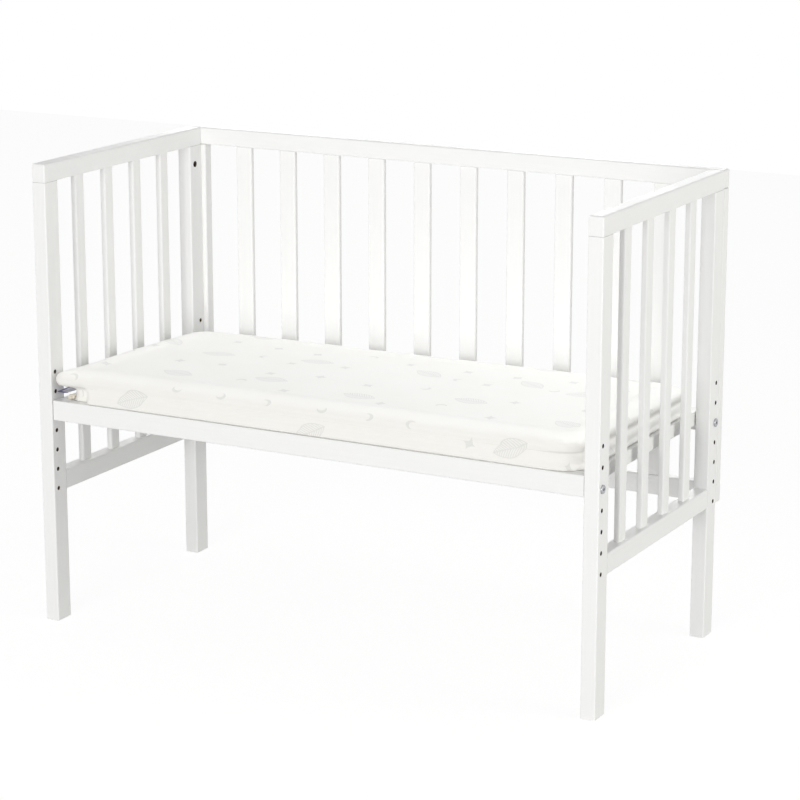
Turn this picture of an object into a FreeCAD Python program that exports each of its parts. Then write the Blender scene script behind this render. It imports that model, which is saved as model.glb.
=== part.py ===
import FreeCAD, Part
import os

import Sketcher

# A bedside sleeper crib: two slatted end panels on tall legs, a slatted back panel bolted behind
# the rear legs, an open front, and a slatted base with a mattress that can be bolted at seven heights.
# Frame: +X along the length, +Y from the open front to the back panel, +Z up.
# The origin is the middle of the floor area that the whole crib covers. Millimetres.

doc = FreeCAD.newDocument("bedside_crib")
sizes = doc.addObject("Spreadsheet::Sheet", "sizes")
places = doc.addObject("Spreadsheet::Sheet", "places")

# ---------------------------------------------------------------------------------------------
# The driving sizes, one row each: the cell's alias, its value and what it is
# ---------------------------------------------------------------------------------------------
DRIVING_SIZES = [
    ("width", "975", "over the outer faces of the legs"),
    ("depth", "452", "front of the front legs to the rear of the rear legs"),
    ("height", "746", "floor to the top of the rails"),
    ("leg_width", "24", "leg and end panel rail, along the crib"),
    ("leg_depth", "35", "leg, front to back"),
    ("leg_rounding", "2", "long edges of a leg"),
    ("top_rail_height", "29", "top rails of the three panels"),
    ("low_rail_height", "32", "bottom rails of the three panels"),
    ("low_rail_rise", "214", "floor to the underside of the bottom rails"),
    ("rail_rounding", "3", "softened edges of the panel rails"),
    ("seam_chamfer", "0.5", "bevel that shows as a fine line where a rail meets a leg"),
    ("side_slat_width", "24", "slat of an end panel, front to back"),
    ("side_slat_count", "4", "slats of one end panel"),
    ("back_slat_width", "30", "slat of the back panel, along the crib"),
    ("back_slat_count", "10", "slats of the back panel"),
    ("back_end_extra", "3.5", "what the gap beside a stile has over the other gaps"),
    ("slat_thickness", "10", "slats of the three panels"),
    ("slat_rounding", "3", "long edges of the panel slats"),
    ("tenon_length", "8", "slat end that sits in a rail"),
    ("tenon_shoulder", "1.5", "step from a slat's face to its tenon"),
    ("back_thickness", "20", "rails and stiles of the back panel"),
    ("stile_width", "32", "upright at each end of the back panel"),
    ("hole_count", "7", "base heights"),
    ("hole_pitch", "32", "from one base height to the next"),
    ("hole_lowest", "221", "floor to the lowest hole"),
    ("hole_diameter", "6.5", "clearance hole for a bolt"),
    ("base_row", "5", "hole that the base is bolted to, counted from the lowest"),
    ("base_rail_height", "32.5", "front and back rail of the base"),
    ("base_rail_thickness", "18", "front and back rail of the base"),
    ("base_rail_setback", "2.5", "rail's outer face behind the face of the legs"),
    ("base_rail_rounding", "2", "softened edges of the base's rails"),
    ("base_bolt_drop", "2.5", "bolt below the middle of its rail"),
    ("base_end_play", "1", "gap between the base and a leg"),
    ("end_rail_height", "22", "cross rail at each end of the base"),
    ("end_rail_width", "20", "cross rail at each end of the base"),
    ("board_count", "9", "slats that carry the mattress"),
    ("board_width", "55", "slat that carries the mattress"),
    ("board_thickness", "9", "slat that carries the mattress"),
    ("board_play", "0.5", "gap at each end of such a slat"),
    ("ledger_height", "12", "strip that the slats rest on"),
    ("ledger_depth", "12", "strip that the slats rest on"),
    ("ledger_inset", "20", "from an end rail to the strip, clear of the barrel nut"),
    ("bolt_diameter", "6", "shank"),
    ("bolt_head_diameter", "13.5", "flat round head"),
    ("bolt_head_height", "2.6", "flat round head"),
    ("bolt_head_rounding", "1.2", "rim of the head"),
    ("socket_size", "4", "hexagon socket across its flats"),
    ("socket_depth", "1.8", "hexagon socket"),
    ("base_bolt_length", "60", "under the head"),
    ("back_bolt_length", "45", "under the head"),
    ("back_bolt_row", "2.5", "lower bolts of the back panel, counted in holes from the lowest"),
    ("back_bolt_drop", "31.5", "top of the legs to the upper bolts of the back panel"),
    ("bore_runout", "3", "bolt bore past the bolt's tip"),
    ("nut_diameter", "10", "barrel nut"),
    ("nut_length", "12", "barrel nut"),
    ("base_nut_inset", "55", "outer face of a leg to the barrel nut of the base"),
    ("back_nut_inset", "20", "rear face of a rear leg to its barrel nuts"),
    ("dowel_diameter", "8", "wooden dowel"),
    ("dowel_depth", "15", "dowel in each of its two pieces"),
    ("base_dowel_depth", "12", "dowel in each piece of the base"),
    ("dowel_spread", "16", "between the two dowels of a joint"),
    ("mattress_end_gap", "10.5", "mattress to the inner face of a leg"),
    ("mattress_rear_gap", "22", "mattress to the back panel"),
    ("mattress_thickness", "50", "cover and foam"),
    ("mattress_front_gap", "5", "mattress behind the front face of the legs"),
    ("mattress_rest_gap", "0.3", "what keeps the loose mattress clear of the base's slats"),
    ("mattress_corner", "45", "upright corners of the mattress"),
    ("mattress_edge", "18", "top and bottom edges of the mattress"),
    ("cover_thickness", "3", "quilted cover round the foam"),
    ("label_length", "34", "woven label, along the corner that it is sewn to"),
    ("label_width", "12", "woven label, out from the mattress"),
    ("label_thickness", "1", "woven label, folded double"),
    ("label_turn", "20", "degrees round the corner, from the mattress's left end to its front"),
    ("label_rise", "11", "underside of the mattress to the label"),
    ("slider_width", "10", "zip slider, along the corner"),
    ("slider_height", "7", "zip slider"),
    ("slider_depth", "4.5", "zip slider"),
    ("slider_rounding", "1.5", "edges of the zip slider"),
    ("slider_turn", "55", "degrees round the corner"),
    ("slider_rise", "2", "underside of the mattress to the slider"),
]

# ---------------------------------------------------------------------------------------------
# The places that follow from them
# ---------------------------------------------------------------------------------------------
FOLLOWING_PLACES = [
    ("left_x", "-sizes.width / 2", "outer face of the left legs"),
    ("front_y", "-(sizes.depth + sizes.back_thickness + sizes.bolt_head_height) / 2",
     "front face of the legs"),
    ("rear_y", "front_y + sizes.depth", "rear face of the rear legs"),
    ("leg_height", "sizes.height - sizes.top_rail_height", "top of a leg"),
    ("slat_foot", "sizes.low_rail_rise + sizes.low_rail_height", "top of the bottom rails"),
    ("slat_opening", "leg_height - slat_foot", "height between the rails of a panel"),
    ("side_opening", "sizes.depth - 2 * sizes.leg_depth", "between a front leg and a rear leg"),
    ("side_pitch", "(side_opening + sizes.side_slat_width) / (sizes.side_slat_count + 1)",
     "from slat to slat in an end panel"),
    ("back_opening", "sizes.width - 2 * (sizes.stile_width + sizes.back_end_extra)",
     "room for the back slats"),
    ("back_pitch", "(back_opening + sizes.back_slat_width) / (sizes.back_slat_count + 1)",
     "from slat to slat in the back panel"),
    ("hole_inset", "sizes.base_rail_setback + sizes.base_rail_thickness / 2",
     "holes from a leg's outer face"),
    ("bolt_z", "sizes.hole_lowest + (sizes.base_row - 1) * sizes.hole_pitch", "bolts of the base"),
    ("back_bolt_low", "sizes.hole_lowest + (sizes.back_bolt_row - 1) * sizes.hole_pitch",
     "lower bolts of the back panel"),
    ("back_bolt_high", "leg_height - sizes.back_bolt_drop", "upper bolts of the back panel"),
    ("base_top", "bolt_z + sizes.base_bolt_drop + sizes.base_rail_height / 2", "top of the base"),
    ("base_low", "base_top - sizes.base_rail_height", "underside of the base's long rails"),
    ("base_left", "left_x + sizes.leg_width + sizes.base_end_play", "left end of the base"),
    ("base_length", "sizes.width - 2 * (sizes.leg_width + sizes.base_end_play)", "length of the base"),
    ("base_front", "front_y + sizes.base_rail_setback", "outer face of the base's front rail"),
    ("base_middle", "front_y + sizes.depth / 2", "middle of the base, front to back"),
    ("base_nut_wall", "(sizes.base_rail_thickness - sizes.nut_length) / 2", "wood under a nut of the base"),
    ("back_nut_wall", "(sizes.leg_width - sizes.nut_length) / 2", "wood under a nut in a rear leg"),
    ("base_inside", "base_front + sizes.base_rail_thickness", "inner face of the base's front rail"),
    ("base_span", "2 * (base_middle - base_inside)", "between the base's long rails"),
    ("board_opening", "base_length - 2 * sizes.end_rail_width", "room for the base's slats"),
    ("board_pitch", "(board_opening + sizes.board_width) / (sizes.board_count + 1)",
     "from slat to slat in the base"),
    ("board_low", "base_top - sizes.board_thickness", "underside of the base's slats"),
    ("mattress_length", "sizes.width - 2 * (sizes.leg_width + sizes.mattress_end_gap)", "along the crib"),
    ("mattress_depth", "sizes.depth - sizes.mattress_front_gap - sizes.mattress_rear_gap", "front to back"),
    ("mattress_front", "front_y + sizes.mattress_front_gap", "front of the mattress"),
    ("mattress_low", "base_top + sizes.mattress_rest_gap", "underside of the mattress"),
    ("tenon_thickness", "sizes.slat_thickness - 2 * sizes.tenon_shoulder", "tenon of a panel slat"),
    ("side_tenon_width", "sizes.side_slat_width - 2 * sizes.tenon_shoulder", "tenon of an end panel slat"),
    ("back_tenon_width", "sizes.back_slat_width - 2 * sizes.tenon_shoulder", "tenon of a back panel slat"),
]


def fill_sheet(sheet, rows, sign=""):
    """Write one row per value: what it is, then the value under its alias."""
    for row, (alias, value, meaning) in enumerate(rows, start=1):
        sheet.set(f"A{row}", meaning)
        sheet.setAlias(f"B{row}", alias)
        sheet.set(f"B{row}", sign + value)


fill_sheet(sizes, DRIVING_SIZES)
fill_sheet(places, FOLLOWING_PLACES, sign="=")
doc.recompute()


def size(alias):
    """The number that a driving size holds now."""
    return float(sizes.get(alias))


# ---------------------------------------------------------------------------------------------
# Helpers: bodies, sketches, pads, bores and rounded edges, all driven by the sheets
# ---------------------------------------------------------------------------------------------
# Which way a plane's own normal points along its axis
NORMAL_SIGN = {"XY_Plane": 1, "YZ_Plane": 1, "XZ_Plane": -1}
START_LENGTH = 1.0      # a new dimension's length until its expression sets it


def new_body(label, x, y, z):
    """Start a body whose origin follows three expressions."""
    body = doc.addObject("PartDesign::Body", label)
    body.Label = label
    for axis, rule in zip("xyz", (x, y, z)):
        body.setExpression(f"Placement.Base.{axis}", rule)
    return body


def origin_feature(body, role):
    return next(feature for feature in body.Origin.OriginFeatures if feature.Role == role)


def new_sketch(body, plane, start):
    """Attach a sketch to an origin plane of the body, moved along the plane's axis to start."""
    sketch = body.newObject("Sketcher::SketchObject", f"{body.Name}_sketch")
    sketch.AttachmentSupport = [(origin_feature(body, plane), "")]
    sketch.MapMode = "FlatFace"
    sketch.setExpression("AttachmentOffset.Base.z", f"{NORMAL_SIGN[plane]} * ({start})")
    return sketch


def drive(sketch, kind, points, rule):
    """Add a dimension and bind it to an expression."""
    index = sketch.addConstraint(Sketcher.Constraint(kind, *points, START_LENGTH))
    sketch.setExpression(f"Constraints[{index}]", rule)


def draw_outline(sketch, corners):
    """Draw a closed outline of straight edges through corners given as pairs of expressions."""
    count = len(corners)
    for corner in range(count):
        start = FreeCAD.Vector(corner, corner % 2, 0)
        end = FreeCAD.Vector((corner + 1) % count, (corner + 1) % 2, 0)
        sketch.addGeometry(Part.LineSegment(start, end))
    for corner in range(count):
        sketch.addConstraint(Sketcher.Constraint("Coincident", corner, 2, (corner + 1) % count, 1))
    for corner, (across, up) in enumerate(corners):
        drive(sketch, "DistanceX", (-1, 1, corner, 1), across)
        drive(sketch, "DistanceY", (-1, 1, corner, 1), up)


def rectangle(low_x, low_y, wide, tall):
    """The corners of a rectangle from its low corner, width and height."""
    far_x = f"{low_x} + {wide}"
    far_y = f"{low_y} + {tall}"
    return [(low_x, low_y), (far_x, low_y), (far_x, far_y), (low_x, far_y)]


def middle_rectangle(mid_x, mid_y, wide, tall):
    """The corners of a rectangle from its middle, width and height."""
    return rectangle(f"{mid_x} - ({wide}) / 2", f"{mid_y} - ({tall}) / 2", f"({wide})", f"({tall})")


def draw_circle(sketch, across, up, diameter):
    circle = Part.Circle(FreeCAD.Vector(0, 0, 0), FreeCAD.Vector(0, 0, 1), START_LENGTH)
    index = sketch.addGeometry(circle)
    drive(sketch, "DistanceX", (-1, 1, index, 3), across)
    drive(sketch, "DistanceY", (-1, 1, index, 3), up)
    drive(sketch, "Diameter", (index,), diameter)


def add_pad(body, plane, corners, length, start="0"):
    """Pad an outline from start along the plane's axis, in the axis's positive direction."""
    sketch = new_sketch(body, plane, start)
    draw_outline(sketch, corners)
    pad = body.newObject("PartDesign::Pad", f"{body.Name}_pad")
    pad.Profile = sketch
    pad.Reversed = NORMAL_SIGN[plane] < 0
    pad.setExpression("Length", length)
    return pad


def add_pocket(body, plane, draw, depth, start="0", toward=1):
    """Cut what draw() sketches, from start to a depth, towards the axis's plus or minus side."""
    sketch = new_sketch(body, plane, start)
    draw(sketch)
    pocket = body.newObject("PartDesign::Pocket", f"{body.Name}_pocket")
    pocket.Profile = sketch
    pocket.Reversed = NORMAL_SIGN[plane] == toward
    pocket.setExpression("Length", depth)
    return pocket


def add_bore(body, plane, across, up, diameter, depth, start="0", toward=1):
    return add_pocket(body, plane, lambda sketch: draw_circle(sketch, across, up, diameter),
                      depth, start, toward)


def add_mortise(body, plane, corners, start, toward):
    return add_pocket(body, plane, lambda sketch: draw_outline(sketch, corners),
                      "sizes.tenon_length", start, toward)


def add_row(body, feature, axis, pitch, count):
    """Repeat a cut along an axis of the body."""
    row = body.newObject("PartDesign::LinearPattern", f"{body.Name}_row")
    row.Originals = [feature]
    row.Direction = (origin_feature(body, f"{axis}_Axis"), [""])
    row.Mode = "Spacing"
    row.setExpression("Offset", pitch)
    row.setExpression("Occurrences", count)
    body.Tip = row
    return row


def runs_along(edge, axis):
    """Say whether a straight edge runs along an axis: 0 is X, 1 is Y and 2 is Z."""
    if edge.Curve.TypeId != "Part::GeomLine":
        return False
    return abs(abs(edge.tangentAt(edge.FirstParameter)[axis]) - 1) < 1e-6


def at_level(edge, axis, level):
    """Say whether an edge lies in the plane at a level along an axis of the body."""
    return all(abs(vertex.Point[axis] - level) < 1e-6 for vertex in edge.Vertexes)


def soften(body, kind, amount, wanted):
    """Round or bevel the edges of the body so far that wanted() picks."""
    doc.recompute()
    base = body.Tip
    names = [f"Edge{number}" for number, edge in enumerate(base.Shape.Edges, start=1) if wanted(edge)]
    feature = body.newObject(f"PartDesign::{kind}", f"{body.Name}_{kind.lower()}")
    feature.Base = (base, names)
    feature.setExpression("Radius" if kind == "Fillet" else "Size", amount)
    return feature


def mirrored(label, source, axis="X", base="0"):
    """Make the twin of a piece on the other side of the crib's middle plane, or of another plane."""
    twin = doc.addObject("Part::Mirroring", label)
    twin.Label = label
    twin.Source = source
    twin.Normal = FreeCAD.Vector(axis == "X", axis == "Y", 0)
    twin.setExpression(f"Base.{axis.lower()}", base)
    return twin


def group(label, members):
    """Gather identical fasteners as separate solids in one piece."""
    gathered = doc.addObject("Part::Compound", label)
    gathered.Label = label
    gathered.Links = members
    return gathered


pieces = []             # every piece that is written, in building order


def keep(*made):
    pieces.extend(made)


# ---------------------------------------------------------------------------------------------
# End panels: a front leg and a rear leg, a rail across their tops, a rail between them, four slats
# ---------------------------------------------------------------------------------------------
def make_leg(label, y_rule, hole_y, rail_face, rail_side):
    """A leg of the left end panel. Its bottom rail joins it at rail_face, on the rail_side of it."""
    leg = new_body(label, "places.left_x", y_rule, "0")
    add_pad(leg, "XY_Plane", rectangle("0", "0", "sizes.leg_width", "sizes.leg_depth"), "places.leg_height")
    soften(leg, "Fillet", "sizes.leg_rounding", lambda edge: runs_along(edge, 2))
    soften(leg, "Chamfer", "sizes.seam_chamfer", lambda edge: not runs_along(edge, 2))

    height_hole = add_bore(leg, "YZ_Plane", hole_y, "sizes.hole_lowest", "sizes.hole_diameter",
                           "sizes.leg_width")
    add_row(leg, height_hole, "Z", "sizes.hole_pitch", "sizes.hole_count")

    add_bore(leg, "XY_Plane", "sizes.leg_width / 2", "sizes.leg_depth / 2", "sizes.dowel_diameter",
             "sizes.dowel_depth", start="places.leg_height", toward=-1)
    for side in (-1, 1):
        dowel_z = f"sizes.low_rail_rise + sizes.low_rail_height / 2 + {side} * sizes.dowel_spread / 2"
        add_bore(leg, "XZ_Plane", "sizes.leg_width / 2", dowel_z, "sizes.dowel_diameter",
                 "sizes.dowel_depth", start=rail_face, toward=-rail_side)
    return leg


def bore_for_back_panel(leg):
    """Bore a rear leg for the bolts of the back panel and the barrel nuts that they catch."""
    for bolt_z in ("places.back_bolt_low", "places.back_bolt_high"):
        add_bore(leg, "XZ_Plane", "sizes.leg_width / 2", bolt_z, "sizes.hole_diameter",
                 "sizes.back_bolt_length - sizes.back_thickness + sizes.bore_runout",
                 start="sizes.leg_depth", toward=-1)
        add_bore(leg, "YZ_Plane", "sizes.leg_depth - sizes.back_nut_inset", bolt_z, "sizes.nut_diameter",
                 "sizes.leg_width - places.back_nut_wall", start="sizes.leg_width", toward=-1)


left_front_leg = make_leg("left_front_leg", "places.front_y", "places.hole_inset", "sizes.leg_depth", 1)
left_rear_leg = make_leg("left_rear_leg", "places.rear_y - sizes.leg_depth",
                         "sizes.leg_depth - places.hole_inset", "0", -1)
bore_for_back_panel(left_rear_leg)


def side_mortises(rail, first_y, start, toward):
    """Cut the row of mortises for the slats of an end panel."""
    corners = middle_rectangle("sizes.leg_width / 2", first_y, "places.tenon_thickness",
                               "places.side_tenon_width")
    mortise = add_mortise(rail, "XY_Plane", corners, start, toward)
    add_row(rail, mortise, "Y", "places.side_pitch", "sizes.side_slat_count")


def make_side_top_rail(label):
    """The rail that caps both legs of an end panel, with its upper edges rounded."""
    rail = new_body(label, "places.left_x", "places.front_y", "places.leg_height")
    add_pad(rail, "XZ_Plane", rectangle("0", "0", "sizes.leg_width", "sizes.top_rail_height"), "sizes.depth")
    soften(rail, "Fillet", "sizes.leg_rounding", lambda edge: runs_along(edge, 2))
    soften(rail, "Fillet", "sizes.rail_rounding", lambda edge: at_level(edge, 2, size("top_rail_height")))
    soften(rail, "Chamfer", "sizes.seam_chamfer", lambda edge: at_level(edge, 2, 0))
    side_mortises(rail, "sizes.leg_depth + places.side_pitch - sizes.side_slat_width / 2", "0", 1)
    for leg_middle in ("sizes.leg_depth / 2", "sizes.depth - sizes.leg_depth / 2"):
        add_bore(rail, "XY_Plane", "sizes.leg_width / 2", leg_middle, "sizes.dowel_diameter",
                 "sizes.dowel_depth")
    return rail


def make_side_low_rail(label):
    """The rail between the legs of an end panel, with two dowels at each end."""
    rail = new_body(label, "places.left_x", "places.front_y + sizes.leg_depth", "sizes.low_rail_rise")
    add_pad(rail, "XZ_Plane", rectangle("0", "0", "sizes.leg_width", "sizes.low_rail_height"),
            "places.side_opening")
    soften(rail, "Fillet", "sizes.rail_rounding", lambda edge: runs_along(edge, 1))
    side_mortises(rail, "places.side_pitch - sizes.side_slat_width / 2", "sizes.low_rail_height", -1)
    for side in (-1, 1):
        dowel_z = f"sizes.low_rail_height / 2 + {side} * sizes.dowel_spread / 2"
        for end, toward in (("0", 1), ("places.side_opening", -1)):
            add_bore(rail, "XZ_Plane", "sizes.leg_width / 2", dowel_z, "sizes.dowel_diameter",
                     "sizes.dowel_depth", start=end, toward=toward)
    return rail


def make_panel_slat(label, x, y, wide, thick, tenon_wide, tenon_thick, along):
    """A panel slat with a shouldered tenon at both ends. Its width runs along X or Y."""
    slat = new_body(label, x, y, "places.slat_foot - sizes.tenon_length")
    tenon = (tenon_wide, tenon_thick) if along == "X" else (tenon_thick, tenon_wide)
    body = (wide, thick) if along == "X" else (thick, wide)
    add_pad(slat, "XY_Plane", middle_rectangle("0", "0", *body), "places.slat_opening",
            start="sizes.tenon_length")
    soften(slat, "Fillet", "sizes.slat_rounding", lambda edge: runs_along(edge, 2))
    add_pad(slat, "XY_Plane", middle_rectangle("0", "0", *tenon),
            "places.slat_opening + 2 * sizes.tenon_length")
    return slat


left_top_rail = make_side_top_rail("left_top_rail")
left_low_rail = make_side_low_rail("left_bottom_rail")
left_slats = [
    make_panel_slat(f"left_slat_{number}", "places.left_x + sizes.leg_width / 2",
                    f"places.front_y + sizes.leg_depth + {number} * places.side_pitch"
                    " - sizes.side_slat_width / 2",
                    "sizes.side_slat_width", "sizes.slat_thickness",
                    "places.side_tenon_width", "places.tenon_thickness", "Y")
    for number in range(1, int(size("side_slat_count")) + 1)
]
left_panel = [left_front_leg, left_rear_leg, left_top_rail, left_low_rail, *left_slats]
keep(*left_panel)
keep(*(mirrored(piece.Label.replace("left", "right"), piece) for piece in left_panel))

# ---------------------------------------------------------------------------------------------
# Back panel: two full-length rails, two stiles that are bolted to the rear legs, ten slats
# ---------------------------------------------------------------------------------------------
def make_back_rail(label, z_rule, height, joint_face, joint_side):
    """A full-length rail. Slats and stiles enter at joint_face, from the joint_side of it."""
    rail = new_body(label, "places.left_x", "places.rear_y", z_rule)
    add_pad(rail, "YZ_Plane", rectangle("0", "0", "sizes.back_thickness", height), "sizes.width")
    soften(rail, "Fillet", "sizes.rail_rounding", lambda edge: True)
    first_x = "sizes.stile_width + sizes.back_end_extra + places.back_pitch - sizes.back_slat_width / 2"
    corners = middle_rectangle(first_x, "sizes.back_thickness / 2", "places.back_tenon_width",
                               "places.tenon_thickness")
    mortise = add_mortise(rail, "XY_Plane", corners, joint_face, -joint_side)
    add_row(rail, mortise, "X", "places.back_pitch", "sizes.back_slat_count")
    for stile_middle in ("sizes.stile_width / 2", "sizes.width - sizes.stile_width / 2"):
        for side in (-1, 1):
            add_bore(rail, "XY_Plane", f"{stile_middle} + {side} * sizes.dowel_spread / 2",
                     "sizes.back_thickness / 2", "sizes.dowel_diameter", "sizes.dowel_depth",
                     start=joint_face, toward=-joint_side)
    return rail


def make_stile(label):
    """The upright behind a left rear leg, doweled to both rails and bored for the panel's bolts."""
    stile = new_body(label, "places.left_x", "places.rear_y", "places.slat_foot")
    add_pad(stile, "XY_Plane", rectangle("0", "0", "sizes.stile_width", "sizes.back_thickness"),
            "places.slat_opening")
    soften(stile, "Fillet", "sizes.rail_rounding", lambda edge: runs_along(edge, 2))
    for end, toward in (("0", 1), ("places.slat_opening", -1)):
        for side in (-1, 1):
            add_bore(stile, "XY_Plane", f"sizes.stile_width / 2 + {side} * sizes.dowel_spread / 2",
                     "sizes.back_thickness / 2", "sizes.dowel_diameter", "sizes.dowel_depth",
                     start=end, toward=toward)
    for bolt_z in ("places.back_bolt_low", "places.back_bolt_high"):
        add_bore(stile, "XZ_Plane", "sizes.leg_width / 2", f"{bolt_z} - places.slat_foot",
                 "sizes.hole_diameter", "sizes.back_thickness")
    return stile


keep(make_back_rail("back_top_rail", "places.leg_height", "sizes.top_rail_height", "0", -1))
keep(make_back_rail("back_bottom_rail", "sizes.low_rail_rise", "sizes.low_rail_height",
                    "sizes.low_rail_height", 1))
back_left_stile = make_stile("back_left_stile")
keep(back_left_stile, mirrored("back_right_stile", back_left_stile))
for number in range(1, int(size("back_slat_count")) + 1):
    slat_x = (f"places.left_x + sizes.stile_width + sizes.back_end_extra + {number} * places.back_pitch"
              " - sizes.back_slat_width / 2")
    keep(make_panel_slat(f"back_slat_{number}", slat_x, "places.rear_y + sizes.back_thickness / 2",
                         "sizes.back_slat_width", "sizes.slat_thickness",
                         "places.back_tenon_width", "places.tenon_thickness", "X"))

# ---------------------------------------------------------------------------------------------
# Base: front and back rail, a cross rail at each end, two ledger strips and the slats on them
# ---------------------------------------------------------------------------------------------
def make_base_rail(label):
    """The base's front rail: bored from both ends for the bolts, from inside for the barrel nuts."""
    rail = new_body(label, "places.base_left", "places.base_front", "places.base_low")
    add_pad(rail, "YZ_Plane", rectangle("0", "0", "sizes.base_rail_thickness", "sizes.base_rail_height"),
            "places.base_length")
    soften(rail, "Fillet", "sizes.base_rail_rounding", lambda edge: runs_along(edge, 0))
    bolt_reach = "sizes.base_bolt_length - sizes.leg_width - sizes.base_end_play + sizes.bore_runout"
    nut_x = "sizes.base_nut_inset - sizes.leg_width - sizes.base_end_play"
    for end, toward, side in (("0", 1, ""), ("places.base_length", -1, "places.base_length - ")):
        add_bore(rail, "YZ_Plane", "sizes.base_rail_thickness / 2", "places.bolt_z - places.base_low",
                 "sizes.hole_diameter", bolt_reach, start=end, toward=toward)
        add_bore(rail, "XZ_Plane", f"{side}({nut_x})", "places.bolt_z - places.base_low",
                 "sizes.nut_diameter", "sizes.base_rail_thickness - places.base_nut_wall",
                 start="sizes.base_rail_thickness", toward=-1)
        add_bore(rail, "XZ_Plane", f"{side}sizes.end_rail_width / 2",
                 "sizes.base_rail_height - sizes.end_rail_height / 2", "sizes.dowel_diameter",
                 "sizes.base_dowel_depth", start="sizes.base_rail_thickness", toward=-1)
    return rail


def make_end_rail(label):
    """The cross rail between the long rails, flush with their tops."""
    rail = new_body(label, "places.base_left", "places.base_inside",
                    "places.base_top - sizes.end_rail_height")
    add_pad(rail, "XZ_Plane", rectangle("0", "0", "sizes.end_rail_width", "sizes.end_rail_height"),
            "places.base_span")
    soften(rail, "Fillet", "sizes.base_rail_rounding", lambda edge: runs_along(edge, 1))
    for end, toward in (("0", 1), ("places.base_span", -1)):
        add_bore(rail, "XZ_Plane", "sizes.end_rail_width / 2", "sizes.end_rail_height / 2",
                 "sizes.dowel_diameter",
                 "sizes.base_dowel_depth", start=end, toward=toward)
    return rail


def make_ledger(label):
    """The strip along the inside of the front rail that the slats rest on."""
    ledger = new_body(label, "places.base_left + sizes.end_rail_width + sizes.ledger_inset",
                      "places.base_inside", "places.board_low - sizes.ledger_height")
    add_pad(ledger, "YZ_Plane", rectangle("0", "0", "sizes.ledger_depth", "sizes.ledger_height"),
            "places.board_opening - 2 * sizes.ledger_inset")
    soften(ledger, "Chamfer", "sizes.seam_chamfer", lambda edge: runs_along(edge, 0))
    return ledger


def make_board(label, number):
    """One slat of the base, lying across the ledgers with its top flush with the rails."""
    board_x = (f"places.base_left + sizes.end_rail_width + {number} * places.board_pitch - sizes.board_width")
    board = new_body(label, board_x, "places.base_inside + sizes.board_play", "places.board_low")
    add_pad(board, "XZ_Plane", rectangle("0", "0", "sizes.board_width", "sizes.board_thickness"),
            "places.base_span - 2 * sizes.board_play")
    soften(board, "Fillet", "sizes.base_rail_rounding", lambda edge: runs_along(edge, 1))
    return board


base_front_rail = make_base_rail("base_front_rail")
base_left_end_rail = make_end_rail("base_left_end_rail")
base_front_ledger = make_ledger("base_front_ledger")
keep(base_front_rail, mirrored("base_back_rail", base_front_rail, "Y", "places.base_middle"))
keep(base_left_end_rail, mirrored("base_right_end_rail", base_left_end_rail))
keep(base_front_ledger, mirrored("base_back_ledger", base_front_ledger, "Y", "places.base_middle"))
for number in range(1, int(size("board_count")) + 1):
    keep(make_board(f"base_slat_{number}", number))

# ---------------------------------------------------------------------------------------------
# Fasteners: bolts with barrel nuts hold the base and the back panel, dowels hold the rest
# ---------------------------------------------------------------------------------------------
def make_bolt(label, length, turn, x, y, z):
    """A flat-headed bolt with a hexagon socket: the shank runs up its own Z, then it is turned."""
    bolt = doc.addObject("PartDesign::Body", label)
    bolt.Placement.Rotation = turn
    for axis, rule in zip("xyz", (x, y, z)):
        bolt.setExpression(f"Placement.Base.{axis}", rule)
    half = new_sketch(bolt, "XZ_Plane", "0")
    rim = "sizes.bolt_head_diameter / 2"
    shank = "sizes.bolt_diameter / 2"
    draw_outline(half, [("0", "-sizes.bolt_head_height"), (rim, "-sizes.bolt_head_height"), (rim, "0"),
                        (shank, "0"), (shank, length), ("0", length)])
    turned = bolt.newObject("PartDesign::Revolution", f"{label}_turned")
    turned.Profile = half
    turned.ReferenceAxis = (half, ["V_Axis"])
    soften(bolt, "Fillet", "sizes.bolt_head_rounding", lambda edge: (
        edge.Curve.TypeId == "Part::GeomCircle" and at_level(edge, 2, -size("bolt_head_height"))))
    spoke = "sizes.socket_size / sqrt(3)"
    hexagon = [(f"{spoke} * cos({60 * corner} deg)", f"{spoke} * sin({60 * corner} deg)")
               for corner in range(6)]
    add_pocket(bolt, "XY_Plane", lambda sketch: draw_outline(sketch, hexagon), "sizes.socket_depth",
               start="-sizes.bolt_head_height")
    return bolt


def make_barrel_nut(label, turn, x, y, z):
    """A steel barrel with a cross bore in its middle, lying along its own Z before it is turned."""
    nut = doc.addObject("PartDesign::Body", label)
    nut.Placement.Rotation = turn
    for axis, rule in zip("xyz", (x, y, z)):
        nut.setExpression(f"Placement.Base.{axis}", rule)
    disc = new_sketch(nut, "XY_Plane", "-sizes.nut_length / 2")
    draw_circle(disc, "0", "0", "sizes.nut_diameter")
    barrel = nut.newObject("PartDesign::Pad", f"{label}_barrel")
    barrel.Profile = disc
    barrel.setExpression("Length", "sizes.nut_length")
    add_bore(nut, "XZ_Plane", "0", "0", "sizes.bolt_diameter", "sizes.nut_diameter",
             start="-sizes.nut_diameter / 2")
    return nut


def make_dowel(x, y, z, depth, turn=FreeCAD.Rotation()):
    """A dowel whose middle is at x, y, z, depth deep on each side of it."""
    dowel = doc.addObject("Part::Cylinder", "dowel")
    dowel.setExpression("Radius", "sizes.dowel_diameter / 2")
    dowel.setExpression("Height", f"2 * {depth}")
    dowel.Placement.Rotation = turn
    reach = turn.multVec(FreeCAD.Vector(0, 0, 1))
    for axis, rule, share in zip("xyz", (x, y, z), reach):
        dowel.setExpression(f"Placement.Base.{axis}", f"{rule} - {round(share)} * {depth}")
    return dowel


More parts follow.
